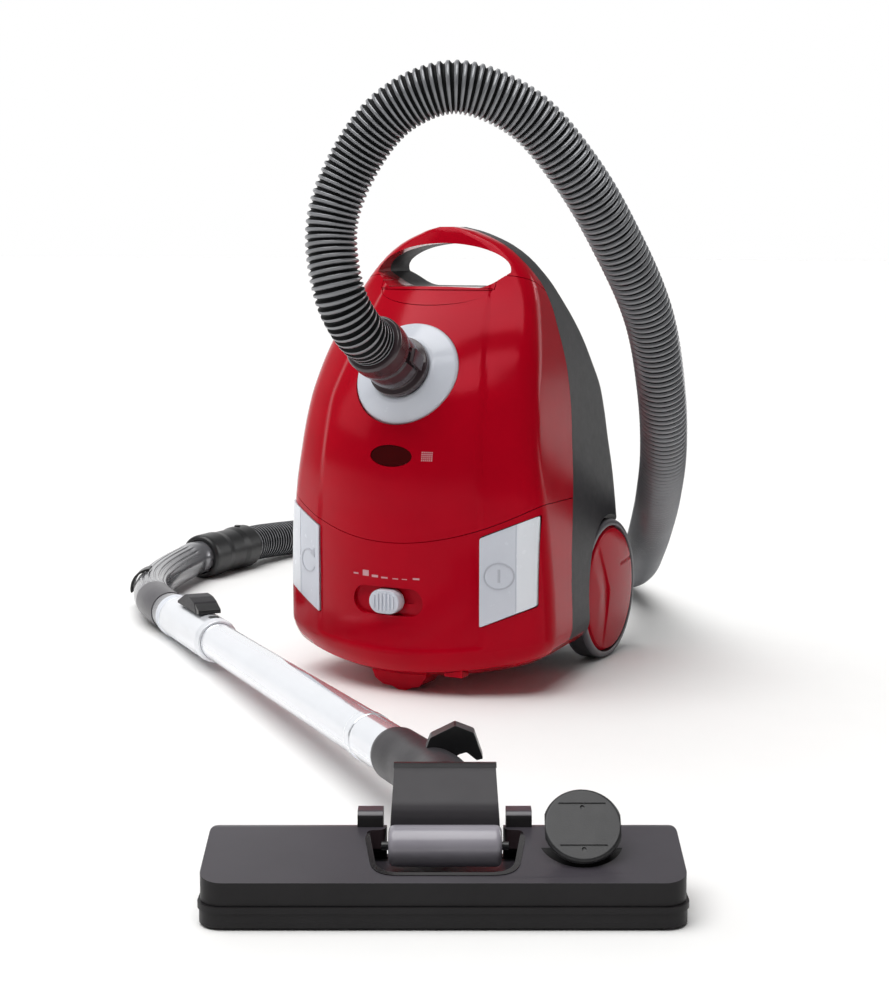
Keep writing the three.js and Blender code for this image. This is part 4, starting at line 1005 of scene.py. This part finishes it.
def add_nozzle():
    outer = eased_edges(within(prism("z", nozzle_plan(1.5, 13), 0, 60), cover_side(0)), 2.2, 4, 30)
    outer = within(outer, block(-300, 300, -700, -300, 13.5, 60))
    inner = within(prism("z", nozzle_plan(4.5, 10), 0, 60), cover_side(3))
    well_walls = within(block(NECK_U - 46, NECK_U + 46, -551, BACK - 2, 13.5, 40), copy(outer))
    pedal_block = within(block(78, 131, -545, BACK - 2, 13.5, 40), copy(outer))
    recess = rounded([(-38, -546.5), (38, -546.5), (44.5, -498), (33, -498), (33, BACK + 10),
                      (-33, BACK + 10), (-33, -498), (-44.5, -498)], 14, 12)
    well = prism("z", [(NECK_U + x, y) for x, y in recess], 19.5, 60)
    cover = cut(union(cut(outer, inner), well_walls, pedal_block), well,
                rod(PEDAL_CENTRE, PEDAL_NORMAL, -15, 60, 23.2, 96), *strip_room(0.8, 25.5))
    profile = [(-495, 23), (-495, 44), (-492.5, 46.6), (-481.5, 46.6), (-481.5, 23)]
    ears = [prism("x", rounded(profile, 1.5), NECK_U + u, NECK_U + u + 14.5) for u in (-49.5, 34.5)]
    cover = union(cover, *ears)
    # Upright faces of the cover take the darker charcoal: painted shade.
    mark_faces(cover, 1, lambda face: face.normal.z < 0.6)
    # The walls and floor of the pedal's hole take the darker charcoal too: painted shade in the recess.
    mark_faces(cover, 1, lambda face: (face.center - PEDAL_CENTRE).cross(PEDAL_NORMAL).length < 24.3
               and not 0.3 < face.normal.dot(PEDAL_NORMAL) < 0.95)
    # The inner walls of the neck's well take the smoked brown: painted shade with a painted dark-red
    # reflection of the canister.
    mark_faces(cover, 2, lambda face: abs(face.center.x - NECK_U) < 45.2 and face.normal.z < 0.9
               and abs(face.center.y - WELL_V) < 25.5 and face.center.z < 38.5)
    piece(cover, "nozzle_shell", "nozzle", CHARCOAL, place=WAND,
          stands_for=["nozzle_cover"], edge=0.5, sharp=40, looks=[SHADED, SMOKE])
    rim = rounded([(-39.4, -547.9), (39.4, -547.9), (46.2, -497), (-46.2, -497)], 14, 12)
    inside = rounded([(-36.6, -545.1), (36.6, -545.1), (44, -490), (-44, -490)], 13, 12)
    trim = cut(prism("z", [(NECK_U + x, y) for x, y in rim], 20, 60),
               prism("z", [(NECK_U + x, y) for x, y in inside], 0, 70))
    band = cut(cover_side(-0.5), cover_side(2.0))
    trim = within(trim, band, block(-40, 100, -560, -499, 15, 60))
    piece(trim, "well_trim", "nozzle", TRIM, place=WAND)
    plate = prism("z", nozzle_plan(0.8, 13), 1.5, 9.8)
    lip = prism("z", nozzle_plan(0, 13.5), 9.8, 13.2)
    runner = block(NOZZLE_U - 118, NOZZLE_U + 118, FRONT + 4, FRONT + 8, 0, 4)
    sole = union(plate, lip, runner)
    pits = [block(NOZZLE_U + u - 7.5, NOZZLE_U + u + 7.5, -503, -487, 0, 14) for u in (-106, 106)]
    sole = cut(sole, block(NOZZLE_U - 78, NOZZLE_U + 112, -532, -520, 0, 20), *strip_room(0.6), *pits)
    # The sole takes the darker charcoal as well: partly its own matt finish, partly painted shade.
    piece(sole, "sole_plate", "nozzle", SHADED, place=WAND, stands_for=["nozzle_sole"],
          edge=0.5)
    add_brush_knob()


def add_brush_knob():
    right = Vector((1, 0, 0))
    lift = PEDAL_NORMAL.cross(right)

    def on_disc(solid):
        for v in solid.data.vertices:
            v.co = PEDAL_CENTRE + right * v.co.x + lift * v.co.y + PEDAL_NORMAL * v.co.z
        return solid

    disc = [(0, -12), (12, -12), (12, -4), (19, -4), (22, -1), (22, 1), (20.6, 2.3), (0, 2.3)]
    knob = turned(softened(disc, 0.7), PEDAL_CENTRE, PEDAL_NORMAL, 96)
    knob = within(knob, on_disc(block(-20.8, 20.8, -30, 30, -20, 20)))
    slots = [on_disc(block(-13, 13, y - 0.7, y + 0.7, 1.6, 5)) for y in (-12.5, 12.5)]
    dimples = [rod(PEDAL_CENTRE + lift * y, PEDAL_NORMAL, 1.5, 5, 1.3, 24) for y in (-14.6, 10.4)]
    piece(cut(knob, *slots, *dimples), "brush_disc", "brush_knob", CUFF, place=WAND,
          stands_for=["brush_pedal"], edge=0.3)


add_lid()
add_inlet()
add_lower_housing()
add_bracket()
add_chassis()
add_wheels()
add_caster()
add_grip()
add_tubes()
add_elbow()
add_nozzle()
for spare_solid in (shell, front_shell):
    bpy.data.objects.remove(spare_solid)


# ---- studio

STUDIO_AIM = (0.04, 0.12, 0.2)


def area(name, where, size, size_y, power, lights_surfaces=True):
    light = linked(name, bpy.data.lights.new(name, "AREA"))
    light.data.shape = "RECTANGLE"
    light.data.size, light.data.size_y = size, size_y
    light.data.energy = power
    light.location = Vector(where)
    light.rotation_euler = (Vector(STUDIO_AIM) - Vector(where)).to_track_quat("-Z", "Y").to_euler()
    light.visible_diffuse = lights_surfaces


def add_studio():
    floor = linked("floor", bpy.data.meshes.new("floor"))
    half = 40
    floor.data.from_pydata([(-half, -half, 0), (half, -half, 0), (half, half, 0), (-half, half, 0)], [],
                           [(0, 1, 2, 3)])
    pale = plastic("pale_floor", (0.93, 0.925, 0.915), 0.7, grain=40, bump=0.0, vary=0.004)
    floor.data.materials.append(pale)
    world = bpy.data.worlds.new("studio")
    world.use_nodes = True
    nodes, links = world.node_tree.nodes, world.node_tree.links
    set_inputs(nodes["Background"], {"Color": (1, 1, 1, 1)})
    way = nodes.new("ShaderNodeTexCoord")
    ahead = nodes.new("ShaderNodeVectorMath")
    ahead.operation = "DOT_PRODUCT"
    glow_way = WAND_HEADING + math.radians(20)
    ahead.inputs[1].default_value = (-math.sin(glow_way), math.cos(glow_way), 0)
    links.new(way.outputs["Generated"], ahead.inputs[0])
    glow = nodes.new("ShaderNodeMapRange")
    glow.interpolation_type = "SMOOTHSTEP"
    set_inputs(glow, {"From Min": 0.5, "From Max": 0.95, "To Min": 0.13, "To Max": 1.0})
    links.new(ahead.outputs["Value"], glow.inputs["Value"])
    ray = nodes.new("ShaderNodeLightPath")
    strength = nodes.new("ShaderNodeMath")
    strength.operation = "MAXIMUM"
    links.new(glow.outputs["Result"], strength.inputs[0])
    links.new(ray.outputs["Is Camera Ray"], strength.inputs[1])
    links.new(strength.outputs["Value"], nodes["Background"].inputs["Strength"])
    bpy.context.scene.world = world
    sun = linked("sun", bpy.data.lights.new("sun", "SUN"))
    sun.data.energy = 3.05
    sun.data.angle = math.radians(60)
    sun.rotation_euler = Vector((-0.1, -0.22, 0.95)).to_track_quat("Z", "Y").to_euler()
    area("box_right", (1.36, 2.2, 0.95), 0.7, 1.5, 12.0, lights_surfaces=False)
    area("box_left", (-1.6, -0.9, 1.3), 0.9, 1.2, 3.4)
    bpy.context.scene.view_settings.view_transform = "Standard"


add_studio()
